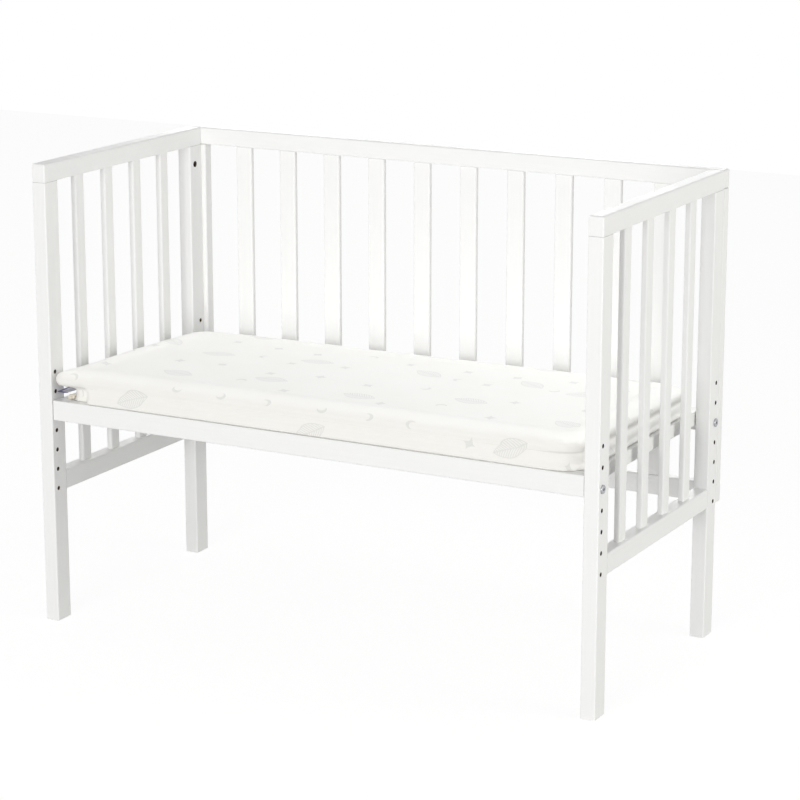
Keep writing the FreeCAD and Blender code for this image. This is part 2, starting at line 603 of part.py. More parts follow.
UP_TO_X = FreeCAD.Rotation(FreeCAD.Vector(0, 1, 0), 90)         # turns the fastener's Z to +X
UP_TO_Y = FreeCAD.Rotation(FreeCAD.Vector(1, 0, 0), -90)        # turns the fastener's Z to +Y
UP_TO_MINUS_Y = FreeCAD.Rotation(FreeCAD.Vector(1, 0, 0), 90)   # turns the fastener's Z to -Y
CROSS_TO_X = FreeCAD.Rotation(FreeCAD.Vector(0, 0, 1), 90)      # turns the nut's cross bore to X


def both_ends(label, makers):
    """Group the fasteners of the left end with their twins at the right end."""
    twins = [mirrored(f"{label}_twin", member) for member in makers]
    return group(label, [*makers, *twins])


base_bolt = make_bolt("base_bolt", "sizes.base_bolt_length", UP_TO_X,
                      "places.left_x", "places.front_y + places.hole_inset", "places.bolt_z")
base_bolt_behind = mirrored("base_bolt_behind", base_bolt, "Y", "places.base_middle")
keep(both_ends("base_bolts", [base_bolt, base_bolt_behind]))

base_nut = make_barrel_nut("base_nut", UP_TO_Y * CROSS_TO_X, "places.left_x + sizes.base_nut_inset",
                           "places.base_front + sizes.base_rail_thickness / 2", "places.bolt_z")
base_nut_behind = mirrored("base_nut_behind", base_nut, "Y", "places.base_middle")
keep(both_ends("base_barrel_nuts", [base_nut, base_nut_behind]))

leg_middle_x = "places.left_x + sizes.leg_width / 2"
back_bolts = []
back_nuts = []
for level in ("low", "high"):
    back_bolts.append(make_bolt(f"back_bolt_{level}", "sizes.back_bolt_length", UP_TO_MINUS_Y, leg_middle_x,
                                "places.rear_y + sizes.back_thickness", f"places.back_bolt_{level}"))
    back_nuts.append(make_barrel_nut(f"back_nut_{level}", UP_TO_X,
                                     leg_middle_x,
                                     "places.rear_y - sizes.back_nut_inset", f"places.back_bolt_{level}"))
keep(both_ends("back_panel_bolts", back_bolts))
keep(both_ends("back_panel_barrel_nuts", back_nuts))

panel_dowels = []
for leg_y in ("places.front_y + sizes.leg_depth / 2", "places.rear_y - sizes.leg_depth / 2"):
    panel_dowels.append(make_dowel(leg_middle_x, leg_y, "places.leg_height", "sizes.dowel_depth"))
for joint_y in ("places.front_y + sizes.leg_depth", "places.rear_y - sizes.leg_depth"):
    for side in (-1, 1):
        dowel_z = f"sizes.low_rail_rise + sizes.low_rail_height / 2 + {side} * sizes.dowel_spread / 2"
        panel_dowels.append(make_dowel(leg_middle_x, joint_y, dowel_z, "sizes.dowel_depth", UP_TO_Y))
keep(both_ends("end_panel_dowels", panel_dowels))

stile_dowels = []
for joint_z in ("places.slat_foot", "places.leg_height"):
    for side in (-1, 1):
        dowel_x = f"places.left_x + sizes.stile_width / 2 + {side} * sizes.dowel_spread / 2"
        stile_dowels.append(make_dowel(dowel_x, "places.rear_y + sizes.back_thickness / 2", joint_z,
                                       "sizes.dowel_depth"))
keep(both_ends("back_panel_dowels", stile_dowels))

base_dowel = make_dowel("places.base_left + sizes.end_rail_width / 2", "places.base_inside",
                        "places.base_top - sizes.end_rail_height / 2", "sizes.base_dowel_depth", UP_TO_Y)
base_dowel_behind = mirrored("base_dowel_behind", base_dowel, "Y", "places.base_middle")
keep(both_ends("base_dowels", [base_dowel, base_dowel_behind]))

# ---------------------------------------------------------------------------------------------
# Mattress: foam in a quilted cover, with a woven label and a zip slider at the front left corner
# ---------------------------------------------------------------------------------------------
def make_cushion(label, inset):
    """A block with round upright corners and round edges, inset from the mattress on every side."""
    cushion = new_body(label, f"-places.mattress_length / 2 + {inset}", f"places.mattress_front + {inset}",
                       f"places.mattress_low + {inset}")
    add_pad(cushion, "XY_Plane", rectangle("0", "0", f"(places.mattress_length - 2 * {inset})",
                                           f"(places.mattress_depth - 2 * {inset})"),
            f"sizes.mattress_thickness - 2 * {inset}")
    soften(cushion, "Fillet", f"sizes.mattress_corner - {inset}", lambda edge: runs_along(edge, 2))
    soften(cushion, "Fillet", f"sizes.mattress_edge - {inset}", lambda edge: not runs_along(edge, 2))
    return cushion


mattress_foam = make_cushion("mattress_core", "sizes.cover_thickness")
mattress_outside = make_cushion("mattress_outside", "0")
mattress_cover = doc.addObject("Part::Cut", "mattress_cover")
mattress_cover.Label = "mattress_cover"
mattress_cover.Base = mattress_outside
mattress_cover.Tool = mattress_foam
keep(mattress_foam, mattress_cover)


def make_corner_trim(label, turn, rise, reach, wide, tall):
    """A small block that touches the mattress's front left corner, a turn round from its left end."""
    trim = new_body(label, "-places.mattress_length / 2 + sizes.mattress_corner",
                    "places.mattress_front + sizes.mattress_corner", f"places.mattress_low + {rise}")
    trim.Placement.Rotation = FreeCAD.Rotation(FreeCAD.Vector(0, 0, 1), 1)
    trim.setExpression("Placement.Rotation.Angle", f"180 deg + {turn} * 1 deg")
    below_middle = f"(sizes.mattress_edge - {rise} - {tall})"
    surface = (f"(sizes.mattress_corner - sizes.mattress_edge"
               f" + sqrt(sizes.mattress_edge * sizes.mattress_edge - {below_middle} * {below_middle}))")
    add_pad(trim, "XY_Plane", rectangle(surface, f"-{wide} / 2", reach, wide), tall)
    return trim


mattress_label = make_corner_trim("mattress_label", "sizes.label_turn", "sizes.label_rise",
                                  "sizes.label_width", "sizes.label_length", "sizes.label_thickness")
zip_slider = make_corner_trim("zip_slider", "sizes.slider_turn", "sizes.slider_rise",
                              "sizes.slider_depth", "sizes.slider_width", "sizes.slider_height")
soften(zip_slider, "Fillet", "sizes.slider_rounding",
       lambda edge: edge.Vertexes[0].Point[0] > size("mattress_corner"))
keep(mattress_label, zip_slider)

# ---------------------------------------------------------------------------------------------
# Recompute, check every feature and write one file per piece
# ---------------------------------------------------------------------------------------------
doc.recompute()
for feature in doc.Objects:
    if "Invalid" in feature.State or "Error" in feature.State:
        raise RuntimeError(f"{feature.Label} did not compute: {feature.State}")
    if feature.TypeId == "PartDesign::Pocket" and feature.Shape.Volume >= feature.BaseFeature.Shape.Volume:
        raise RuntimeError(f"{feature.Label} cuts nothing")

os.makedirs("parts", exist_ok=True)
for piece in pieces:
    if not piece.Shape.isValid() or not piece.Shape.Solids:
        raise RuntimeError(f"{piece.Label} is not a valid solid")
    piece.Shape.exportStep(f"parts/{piece.Label}.step")
print(len(pieces), "pieces written")
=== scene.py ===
# %% [markdown]
# # A bedside sleeper crib
# The crib is white painted wood: two slatted end panels on tall legs, a slatted back panel, an open
# front, and a bolted base that carries a soft mattress. The wood, bolts and nuts come as exact solids
# and stay as they are, so this lesson only gives them their finish. The mattress, its zip, its woven
# label and the zip's slider are soft or tiny things that a plain solid can't show, so they are modelled
# here. First the imported frame is loaded.

# %% Load the imported frame
import math

import bpy
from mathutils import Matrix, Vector, noise


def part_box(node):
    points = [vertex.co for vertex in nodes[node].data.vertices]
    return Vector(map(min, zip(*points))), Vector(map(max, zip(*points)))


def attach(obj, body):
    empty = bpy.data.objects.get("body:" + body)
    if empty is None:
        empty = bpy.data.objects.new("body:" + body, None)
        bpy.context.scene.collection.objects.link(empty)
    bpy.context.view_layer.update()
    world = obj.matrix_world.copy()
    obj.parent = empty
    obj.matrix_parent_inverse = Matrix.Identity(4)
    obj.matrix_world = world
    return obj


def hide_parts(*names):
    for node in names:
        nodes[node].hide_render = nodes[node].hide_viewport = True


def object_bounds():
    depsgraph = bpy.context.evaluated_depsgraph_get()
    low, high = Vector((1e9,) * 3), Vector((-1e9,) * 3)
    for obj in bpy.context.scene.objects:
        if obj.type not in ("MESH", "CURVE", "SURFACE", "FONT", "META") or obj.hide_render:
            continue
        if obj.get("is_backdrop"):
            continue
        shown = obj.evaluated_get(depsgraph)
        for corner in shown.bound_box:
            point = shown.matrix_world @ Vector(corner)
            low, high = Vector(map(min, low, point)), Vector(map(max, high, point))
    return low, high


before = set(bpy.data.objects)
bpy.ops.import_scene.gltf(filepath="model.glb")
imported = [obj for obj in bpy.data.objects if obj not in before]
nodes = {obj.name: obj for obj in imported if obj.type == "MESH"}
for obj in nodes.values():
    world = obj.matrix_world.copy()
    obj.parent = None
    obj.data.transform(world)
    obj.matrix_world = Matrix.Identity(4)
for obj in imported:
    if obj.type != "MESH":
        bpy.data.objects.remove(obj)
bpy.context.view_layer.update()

scene = bpy.context.scene
MM = 0.001

# %% [markdown]
# ## The camera
# A long lens from about four metres keeps the legs nearly parallel, as a catalogue picture does. The
# camera stands in front of the open side, to the right, and looks a little down. Shifting the lens
# would make the legs exactly parallel, but a shift stays on when the camera moves round the crib and
# would push it out of the frame, so the camera is tilted instead.

# %% Camera
camera_data = bpy.data.cameras.new("studio_camera")
camera_data.sensor_width = 36
camera_data.lens = 121.5
camera = bpy.data.objects.new("studio_camera", camera_data)
camera.location = (1.998, -3.629, 1.4187)
camera.rotation_euler = (math.radians(90 - 14.18), 0, math.radians(28.39))
scene.collection.objects.link(camera)
scene.camera = camera
print("camera", tuple(camera.location), "lens", camera_data.lens)

# %% [markdown]
# ## Light
# The crib is lit as in a white studio. Most light comes from low down all round, so that fronts are
# brighter than tops. A large soft lamp in front and a smaller one at the right add shape. A third, high
# up, lights only the mattress, and a last one keeps the crib's back from going grey. Even light could
# come from many lamps, but a plain world colour that fades towards the top is calmer and quicker. The
# backdrop is white only where the camera or a polished surface looks at it, so it adds no light to the
# crib. The floor works the same way: it keeps the soft shadow, but looks almost white.

# %% World and lamps
OVERHEAD_LIGHT, LEVEL_LIGHT = 0.44, 0.55
WHITE = (1, 1, 1, 1)
world = bpy.data.worlds.new("white_studio")
scene.world = world
world.use_nodes = True
tree = world.node_tree
tree.nodes.clear()
world_out = tree.nodes.new("ShaderNodeOutputWorld")
lit = tree.nodes.new("ShaderNodeBackground")
direction = tree.nodes.new("ShaderNodeTexCoord")
height = tree.nodes.new("ShaderNodeSeparateXYZ")
fade = tree.nodes.new("ShaderNodeMapRange")
fade.inputs["To Min"].default_value = LEVEL_LIGHT
fade.inputs["To Max"].default_value = OVERHEAD_LIGHT
tree.links.new(direction.outputs["Generated"], height.inputs[0])
tree.links.new(height.outputs["Z"], fade.inputs["Value"])
tree.links.new(fade.outputs[0], lit.inputs["Strength"])
lit.inputs["Color"].default_value = WHITE
seen = tree.nodes.new("ShaderNodeBackground")
seen.inputs["Color"].default_value = WHITE


def looked_at(tree):
    """A value of 1 where the camera, or a glossy or clear surface, looks at the studio."""
    rays = tree.nodes.new("ShaderNodeLightPath")
    either = tree.nodes.new("ShaderNodeMath")
    either.operation = "MAXIMUM"
    any_ray = tree.nodes.new("ShaderNodeMath")
    any_ray.operation = "MAXIMUM"
    tree.links.new(rays.outputs["Is Camera Ray"], either.inputs[0])
    tree.links.new(rays.outputs["Is Glossy Ray"], either.inputs[1])
    tree.links.new(either.outputs[0], any_ray.inputs[0])
    tree.links.new(rays.outputs["Is Transmission Ray"], any_ray.inputs[1])
    return any_ray.outputs[0]


chosen = tree.nodes.new("ShaderNodeMixShader")
tree.links.new(looked_at(tree), chosen.inputs["Fac"])
tree.links.new(lit.outputs[0], chosen.inputs[1])
tree.links.new(seen.outputs[0], chosen.inputs[2])
tree.links.new(chosen.outputs[0], world_out.inputs["Surface"])


def add_lamp(name, place, aim, wide, watts, colour=(1, 1, 1)):
    """A square soft lamp at a place, turned to face a point."""
    data = bpy.data.lights.new(name, "AREA")
    data.size = wide
    data.energy = watts
    data.color = colour
    lamp = bpy.data.objects.new(name, data)
    lamp.location = place
    lamp.rotation_euler = (Vector(aim) - Vector(place)).to_track_quat("-Z", "Y").to_euler()
    scene.collection.objects.link(lamp)
    return lamp


CRIB_MIDDLE, WARM, COOL = (0, 0, 0.4), (1.0, 1.0, 0.95), (0.93, 0.955, 1.0)
add_lamp("front_lamp", (0.7, -6.4, 1.4), CRIB_MIDDLE, 2.8, 212)
right_lamp = add_lamp("right_lamp", (4.6, 0.3, 0.8), CRIB_MIDDLE, 2.0, 66, WARM)
mattress_lamp = add_lamp("mattress_lamp", (1.4, 1.4, 3.3), CRIB_MIDDLE, 1.2, 70, COOL)
back_lamp = add_lamp("back_lamp", (-2.6, 5.4, 1.3), CRIB_MIDDLE, 2.4, 110)
scene.view_settings.view_transform = "Standard"

# %% Floor
FLOOR_SIZE, FLOOR_DROP = 9, 0.0004
FLOOR_BOUNCE, FLOOR_SHADE, FLOOR_GLOW = (0.74, 0.74, 0.74), (0.22, 0.22, 0.22), (0.86, 0.86, 0.86)


def added(name, primitive, place, scale=(1, 1, 1), size=1):
    """Add a primitive at its size and place, with nothing else selected, and name it."""
    bpy.ops.object.select_all(action="DESELECT")
    primitive(size=size, location=place)
    piece = bpy.context.object
    piece.name = name
    piece.scale = scale
    bpy.ops.object.transform_apply(location=True, rotation=True, scale=True)
    return piece


floor = added("floor", bpy.ops.mesh.primitive_plane_add, (0, 0, -FLOOR_DROP), size=FLOOR_SIZE)
floor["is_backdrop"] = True


def new_material(name):
    """A material with only its Principled shader, and its node tree."""
    material = bpy.data.materials.new(name)
    material.use_nodes = True
    return material, material.node_tree, material.node_tree.nodes["Principled BSDF"]


def mix_colours(tree, factor, first, second, blend="MIX"):
    """Mix two colours or sockets; the result's socket."""
    node = tree.nodes.new("ShaderNodeMix")
    node.data_type = "RGBA"
    node.blend_type = blend
    put(tree, factor, node.inputs[0])
    put(tree, first, node.inputs[6])
    put(tree, second, node.inputs[7])
    return node.outputs[2]


def put(tree, value, socket):
    """Link a socket, or set a plain value or colour."""
    if isinstance(value, bpy.types.NodeSocket):
        tree.links.new(value, socket)
    elif isinstance(value, (tuple, list)) and len(value) == 3 and socket.type == "RGBA":
        socket.default_value = (*value, 1)
    else:
        socket.default_value = value


floor_material, tree, shader = new_material("studio_floor")
mask = looked_at(tree)
put(tree, mix_colours(tree, mask, FLOOR_BOUNCE, FLOOR_SHADE), shader.inputs["Base Color"])
put(tree, mix_colours(tree, mask, (0, 0, 0), FLOOR_GLOW), shader.inputs["Emission Color"])
shader.inputs["Emission Strength"].default_value = 1
shader.inputs["Specular IOR Level"].default_value = 0
shader.inputs["Roughness"].default_value = 1
floor.data.materials.append(floor_material)
print("floor laid,", FLOOR_SIZE, "m square")

# %% [markdown]
# ## Small helpers for node groups
# An effect that several finishes share, such as grain or weave, is built once as a node group and
# placed in each material with its own values. These helpers make a group with named sockets and add
# the arithmetic that patterns are made of.

# %% Node helpers
def new_group(name, inputs, outputs):
    """A node group with its sockets: (name, kind, value) inputs and (name, kind) outputs."""
    group = bpy.data.node_groups.new(name, "ShaderNodeTree")
    kinds = {"value": "NodeSocketFloat", "colour": "NodeSocketColor", "vector": "NodeSocketVector"}
    for label, kind, *value in inputs:
        socket = group.interface.new_socket(label, in_out="INPUT", socket_type=kinds[kind])
        if value:
            socket.default_value = value[0]
    for label, kind in outputs:
        group.interface.new_socket(label, in_out="OUTPUT", socket_type=kinds[kind])
    enter = group.nodes.new("NodeGroupInput")
    leave = group.nodes.new("NodeGroupOutput")
    return group, enter.outputs, leave.inputs


def calc(tree, operation, *values, clamp=False):
    """One step of arithmetic; the result's socket."""
    node = tree.nodes.new("ShaderNodeMath")
    node.operation = operation
    node.use_clamp = clamp
    for value, socket in zip(values, node.inputs):
        put(tree, value, socket)
    return node.outputs[0]


def ramp(tree, value, low, high, to_low=0.0, to_high=1.0):
    """Stretch low..high to to_low..to_high with soft ends, and clamp outside."""
    node = tree.nodes.new("ShaderNodeMapRange")
    node.interpolation_type = "SMOOTHSTEP"
    for value, socket in zip((value, low, high, to_low, to_high), node.inputs):
        put(tree, value, socket)
    return node.outputs[0]


def noise_at(tree, where, scale, detail=2.0, roughness=0.5):
    """Smooth noise around a half; the value's socket."""
    node = tree.nodes.new("ShaderNodeTexNoise")
    put(tree, where, node.inputs["Vector"])
    put(tree, scale, node.inputs["Scale"])
    node.inputs["Detail"].default_value = detail
    node.inputs["Roughness"].default_value = roughness
    return node.outputs["Fac"]


print("node helpers ready")


# %% Node helpers for places and heights
def stretched(tree, where, scales, turn=(0, 0, 0)):
    """Coordinates turned and stretched by a Mapping node."""
    node = tree.nodes.new("ShaderNodeMapping")
    put(tree, where, node.inputs["Vector"])
    node.inputs["Rotation"].default_value = turn
    node.inputs["Scale"].default_value = scales
    return node.outputs[0]


def split(tree, where):
    """The X, Y and Z of a vector."""
    node = tree.nodes.new("ShaderNodeSeparateXYZ")
    put(tree, where, node.inputs[0])
    return node.outputs


def place_group(tree, group, **values):
    """Place a group in a material; spaces in socket names are written as underscores."""
    node = tree.nodes.new("ShaderNodeGroup")
    node.node_tree = group
    for label, value in values.items():
        put(tree, value, node.inputs[label.replace("_", " ")])
    return node.outputs


def object_place(tree):
    """Object coordinates: metres from the crib's own origin, on every piece."""
    return tree.nodes.new("ShaderNodeTexCoord").outputs["Object"]


def raised(tree, shader, height, distance, strength=1.0):
    """Feed a height to the shader's normal; distance is in metres."""
    bump = tree.nodes.new("ShaderNodeBump")
    put(tree, height, bump.inputs["Height"])
    bump.inputs["Distance"].default_value = distance
    bump.inputs["Strength"].default_value = strength
    tree.links.new(bump.outputs["Normal"], shader.inputs["Normal"])


print("place helpers ready")

# %% [markdown]
# ## White paint on wood
# Each rail, leg and slat is solid wood under a satin white paint. The paint isn't perfectly flat: the
# grain shows through as faint long lines, the sprayed coat has a fine orange-peel, and the sheen
# varies a little. An image of wood would repeat and blur near by, so the grain is noise that is
# stretched along the piece. Legs, rails along the crib and rails across it need it in three directions.
# Where the rails sit on the legs the paint has cracked to a hairline.

# %% Grain group
grain_group, enter, leave = new_group(
    "wood_grain",
    [("Vector", "vector"), ("Line Width", "value", 0.002)],
    [("Lines", "value"), ("Bands", "value")])
per_metre = calc(grain_group, "DIVIDE", 1.0, enter["Line Width"])
put(grain_group, noise_at(grain_group, enter["Vector"], per_metre, 3.0, 0.6), leave["Lines"])
wide_scale = calc(grain_group, "MULTIPLY", per_metre, 0.12)
put(grain_group, noise_at(grain_group, enter["Vector"], wide_scale, 1.0), leave["Bands"])
print("group", grain_group.name)

# %% Paint group
paint_group, enter, leave = new_group(
    "satin_paint",
    [("Vector", "vector"), ("Lines", "value", 0.5), ("Bands", "value", 0.5),
     ("Paint", "colour", (0.9, 0.9, 0.9, 1)), ("Sheen", "value", 0.34)],
    [("Colour", "colour"), ("Roughness", "value"), ("Height", "value")])
GRAIN_DEPTH, CLOUD_DEPTH, MEAN_TONE = 0.010, 0.012, 1.017
peel = noise_at(paint_group, enter["Vector"], 900, 1.0)
cloud = noise_at(paint_group, enter["Vector"], 7, 2.0)
fine = ramp(paint_group, enter["Lines"], 0.35, 0.65)
tone = calc(paint_group, "ADD", calc(paint_group, "MULTIPLY", fine, GRAIN_DEPTH),
            calc(paint_group, "MULTIPLY", calc(paint_group, "ADD", cloud, enter["Bands"]), CLOUD_DEPTH))
tone = calc(paint_group, "SUBTRACT", MEAN_TONE, tone)
leg_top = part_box("left_front_leg")[1].z
JOINT_CRACK, CRACK_TOP, CRACK_DARK = 0.0009, 0.00004, 0.30
_, _, up = split(paint_group, enter["Vector"])
crack = calc(paint_group, "MULTIPLY", calc(paint_group, "GREATER_THAN", up, leg_top - JOINT_CRACK),
             calc(paint_group, "LESS_THAN", up, leg_top - CRACK_TOP))
tone = calc(paint_group, "SUBTRACT", tone, calc(paint_group, "MULTIPLY", crack, CRACK_DARK))
toned = mix_colours(paint_group, 1.0, enter["Paint"], tone, "MULTIPLY")
put(paint_group, toned, leave["Colour"])
put(paint_group, calc(paint_group, "ADD", enter["Sheen"], ramp(paint_group, cloud, 0.3, 0.7, -0.04, 0.04)),
    leave["Roughness"])
put(paint_group, calc(paint_group, "ADD", calc(paint_group, "MULTIPLY", fine, 0.7),
                      calc(paint_group, "MULTIPLY", peel, 0.5)), leave["Height"])
print("groups", [g.name for g in bpy.data.node_groups])

# %% [markdown]
# ## Bored holes
# The legs have seven bolt holes each for the height of the base, and the rear legs two wider bores, open
# only on their inner faces, for the barrel nuts of the back panel. They were bored after painting, so
# their walls are raw wood, but they are coloured far darker than raw beech: painted shade, for the
# shadow deep in each hole. A hole needs no new geometry: every point nearer to a bore's axis than its
# radius lies on its wall, so the group finds those points from their coordinates alone.

# %% Bore wall group: raw wood with painted shade
front_leg_low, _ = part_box("left_front_leg")
rear_leg_low, rear_leg_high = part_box("left_rear_leg")
HOLE_INSET, HOLE_RADIUS = 0.0115, 0.00325
HOLE_LOWEST, HOLE_PITCH, HOLE_COUNT = 0.221, 0.032, 7
NUT_INSET, NUT_RADIUS, NUT_WALL, NUT_LEVELS = 0.020, 0.005, 0.006, (0.269, 0.6855)
hole_rows = (front_leg_low.y + HOLE_INSET, rear_leg_high.y - HOLE_INSET)
MARGIN = 0.00015

bore_group, enter, leave = new_group("raw_bore", [("Vector", "vector")], [("Wall", "value")])
along_x, along_y, along_z = split(bore_group, enter["Vector"])


def beside(tree, value, middle):
    """How far a coordinate is from a fixed value."""
    return calc(tree, "ABSOLUTE", calc(tree, "SUBTRACT", value, middle))


def within(tree, off_one, off_two, radius):
    """1 where two offsets together stay inside the radius."""
    squares = (calc(tree, "MULTIPLY", off, off) for off in (off_one, off_two))
    return calc(tree, "LESS_THAN", calc(tree, "ADD", *squares), (radius + MARGIN) ** 2)


off_axis = calc(bore_group, "MINIMUM", *(beside(bore_group, along_y, row) for row in hole_rows))
lowest_edge = HOLE_LOWEST - HOLE_PITCH / 2
in_pitch = calc(bore_group, "MODULO", calc(bore_group, "SUBTRACT", along_z, lowest_edge), HOLE_PITCH)
height_hole = within(bore_group, off_axis, beside(bore_group, in_pitch, HOLE_PITCH / 2), HOLE_RADIUS)
in_row = calc(bore_group, "MULTIPLY", calc(bore_group, "GREATER_THAN", along_z, lowest_edge),
              calc(bore_group, "LESS_THAN", along_z, lowest_edge + HOLE_PITCH * HOLE_COUNT))
off_nut_level = calc(bore_group, "MINIMUM", *(beside(bore_group, along_z, level) for level in NUT_LEVELS))
off_nut_row = beside(bore_group, along_y, rear_leg_high.y - NUT_INSET)
nut_bore = within(bore_group, off_nut_row, off_nut_level, NUT_RADIUS)
from_inside = calc(bore_group, "LESS_THAN", calc(bore_group, "ABSOLUTE", along_x),
                   -rear_leg_low.x - NUT_WALL + MARGIN)
nut_bore = calc(bore_group, "MULTIPLY", nut_bore, from_inside)
put(bore_group, calc(bore_group, "MAXIMUM", calc(bore_group, "MULTIPLY", height_hole, in_row), nut_bore),
    leave["Wall"])
print("hole rows at y", [round(v, 4) for v in hole_rows], "nut bores at z", NUT_LEVELS)

# %% Paint materials
# The bore colour here is raw wood darkened far past raw beech: painted shade inside the holes.
PAINT, RAW_WOOD_WITH_PAINTED_SHADE = (0.895, 0.895, 0.885), (0.11, 0.075, 0.05)
SATIN, GRAIN_WIDTH, GRAIN_HEIGHT = 0.42, 0.0022, 0.00006


def make_paint(name, stretch, bored=False):
    """Satin white paint whose grain runs along the axis with the small stretch."""
    material, tree, shader = new_material(name)
    where = object_place(tree)
    grain = place_group(tree, grain_group, Vector=stretched(tree, where, stretch), Line_Width=GRAIN_WIDTH)
    paint = place_group(tree, paint_group, Vector=where, Lines=grain["Lines"], Bands=grain["Bands"],
                        Paint=PAINT, Sheen=SATIN)
    colour, roughness = paint["Colour"], paint["Roughness"]
    if bored:
        wall = place_group(tree, bore_group, Vector=where)["Wall"]
        # Bore walls take the dark raw-wood colour, which is mostly painted shade for the depth of the holes.
        colour = mix_colours(tree, wall, colour, RAW_WOOD_WITH_PAINTED_SHADE)
        roughness = calc(tree, "MAXIMUM", roughness, calc(tree, "MULTIPLY", wall, 0.9))
    put(tree, colour, shader.inputs["Base Color"])
    put(tree, roughness, shader.inputs["Roughness"])
    shader.inputs["Specular IOR Level"].default_value = 0.25
    raised(tree, shader, paint["Height"], GRAIN_HEIGHT)
    return material


ALONG = 0.035
paint_x = make_paint("white_paint_lengthwise", (ALONG, 1, 1))
paint_y = make_paint("white_paint_crosswise", (1, ALONG, 1))
paint_z = make_paint("white_paint_upright", (1, 1, ALONG))
paint_leg = make_paint("white_paint_bored_leg", (1, 1, ALONG), bored=True)


def coat(node, material):
    """Give a CAD node's object one material in all its slots."""
    slots = node.material_slots
    if not slots:
        node.data.materials.append(material)
    for slot in slots:
        slot.material = material


metal_or_soft = ("bolts", "nuts", "dowels", "mattress", "slider")
for name, node in nodes.items():
    if any(word in name for word in metal_or_soft):
        continue
    low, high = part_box(name)
    size = high - low
    if name.endswith("_leg"):
        coat(node, paint_leg)
    elif size.z > max(size.x, size.y):
        coat(node, paint_z)
    elif size.x > size.y:
        coat(node, paint_x)
    else:
        coat(node, paint_y)
print("painted", sum("paint" in node.material_slots[0].material.name
                     for node in nodes.values() if node.material_slots and node.material_slots[0].material))

# %% [markdown]
# ## Steel and beech
# The bolts and barrel nuts are zinc-plated steel. A bolt's head is turned on a lathe, which leaves
# rings round its axis, and the plating gives a slightly uneven sheen. The dowels are raw beech; they
# sit inside the joints, so their grain only shows when a joint is opened.

# %% Steel and dowels
def make_steel(name, rings, dark, bright):
    """Plated steel with fine marks; rings is the coordinates' stretch."""
    material, tree, shader = new_material(name)
    where = object_place(tree)
    marks = place_group(tree, grain_group, Vector=stretched(tree, where, rings), Line_Width=0.0005)
    cloud = noise_at(tree, where, 240, 2.0)
    put(tree, mix_colours(tree, cloud, dark, bright), shader.inputs["Base Color"])
    put(tree, ramp(tree, marks["Lines"], 0.3, 0.7, 0.26, 0.40), shader.inputs["Roughness"])
    shader.inputs["Metallic"].default_value = 1
    raised(tree, shader, marks["Lines"], 0.00003)
    return material


bolt_steel = make_steel("zinc_bolt", (0.1, 1, 1), (0.36, 0.37, 0.39), (0.48, 0.48, 0.50))
nut_steel = make_steel("dull_barrel_nut", (1, 0.1, 1), (0.05, 0.05, 0.05), (0.09, 0.09, 0.085))

dowel_beech, tree, shader = new_material("raw_beech")
where = object_place(tree)
grain = place_group(tree, grain_group, Vector=stretched(tree, where, (1, 0.05, 1)), Line_Width=0.0006)
BEECH_DARK, BEECH_LIGHT = (0.62, 0.45, 0.28), (0.74, 0.58, 0.40)
put(tree, mix_colours(tree, ramp(tree, grain["Lines"], 0.35, 0.7), BEECH_DARK, BEECH_LIGHT),
    shader.inputs["Base Color"])
put(tree, ramp(tree, grain["Bands"], 0.3, 0.7, 0.55, 0.7), shader.inputs["Roughness"])
raised(tree, shader, grain["Lines"], 0.0001)

for name, node in nodes.items():
    if "bolts" in name:
        coat(node, bolt_steel)
    elif "nuts" in name:
        coat(node, nut_steel)
    elif "dowels" in name:
        coat(node, dowel_beech)
print("steel and beech on", sum("bolts" in n or "nuts" in n or "dowels" in n for n in nodes))

# %% [markdown]
# ## The mattress, first as a block
# The mattress is a flat foam pad in a knitted cover. The cover is zipped along the middle of its
# sides, so the sides swell above and below that line, and the top is a little lower towards the back
# and the left. The block starts smaller than the mattress, because it swells later. Its upright
# corners and its rims are beveled before a voxel remesh gives it an even skin for the cloth.

# %% Block
SWELL, UNDER_GAP, TOP_GAP, NEAR = 0.004, 0.0002, 0.002, 1e-5
pad_low, pad_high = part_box("mattress_cover")
block_low = pad_low + Vector((SWELL / 2, SWELL, UNDER_GAP))
block_high = pad_high - Vector((SWELL / 2, SWELL, TOP_GAP))
mattress = added("mattress", bpy.ops.mesh.primitive_cube_add,
                 (block_low + block_high) / 2, block_high - block_low)
print("block", [round(v, 1) for v in mattress.dimensions / MM], "mm")


# %% Selecting and beveling
def only(piece):
    """Select one piece alone and make it the active one."""
    bpy.ops.object.select_all(action="DESELECT")
    piece.select_set(True)
    bpy.context.view_layer.objects.active = piece


def select_parts(piece, kind, wanted):
    """Go into edit mode with only those parts selected that pass the test."""
    only(piece)
    bpy.ops.object.mode_set(mode="EDIT")
    bpy.ops.mesh.select_mode(type=kind)
    bpy.ops.mesh.select_all(action="DESELECT")
    bpy.ops.object.mode_set(mode="OBJECT")
    mesh = piece.data
    parts = {"VERT": mesh.vertices, "EDGE": mesh.edges, "FACE": mesh.polygons}[kind]
    for part in parts:
        if kind == "EDGE":
            part.select = wanted(*(mesh.vertices[v].co for v in part.vertices))
        else:
            part.select = wanted(part)
    bpy.ops.object.mode_set(mode="EDIT")


def bevel_edges(piece, wanted, offset, segments):
    """Round the edges that pass the test."""
    select_parts(piece, "EDGE", wanted)
    bpy.ops.mesh.bevel(offset=offset, segments=segments, affect="EDGES")
    bpy.ops.object.mode_set(mode="OBJECT")


print("bevel helpers ready")


# %% Round corners and rims
def upright(a, b):
    """True for an edge that stands upright."""
    return abs(a.z - b.z) > 0.01


def at_front_left(point):
    """True for a point of the front left upright edge."""
    return point.x < block_low.x + NEAR and point.y < block_low.y + NEAR


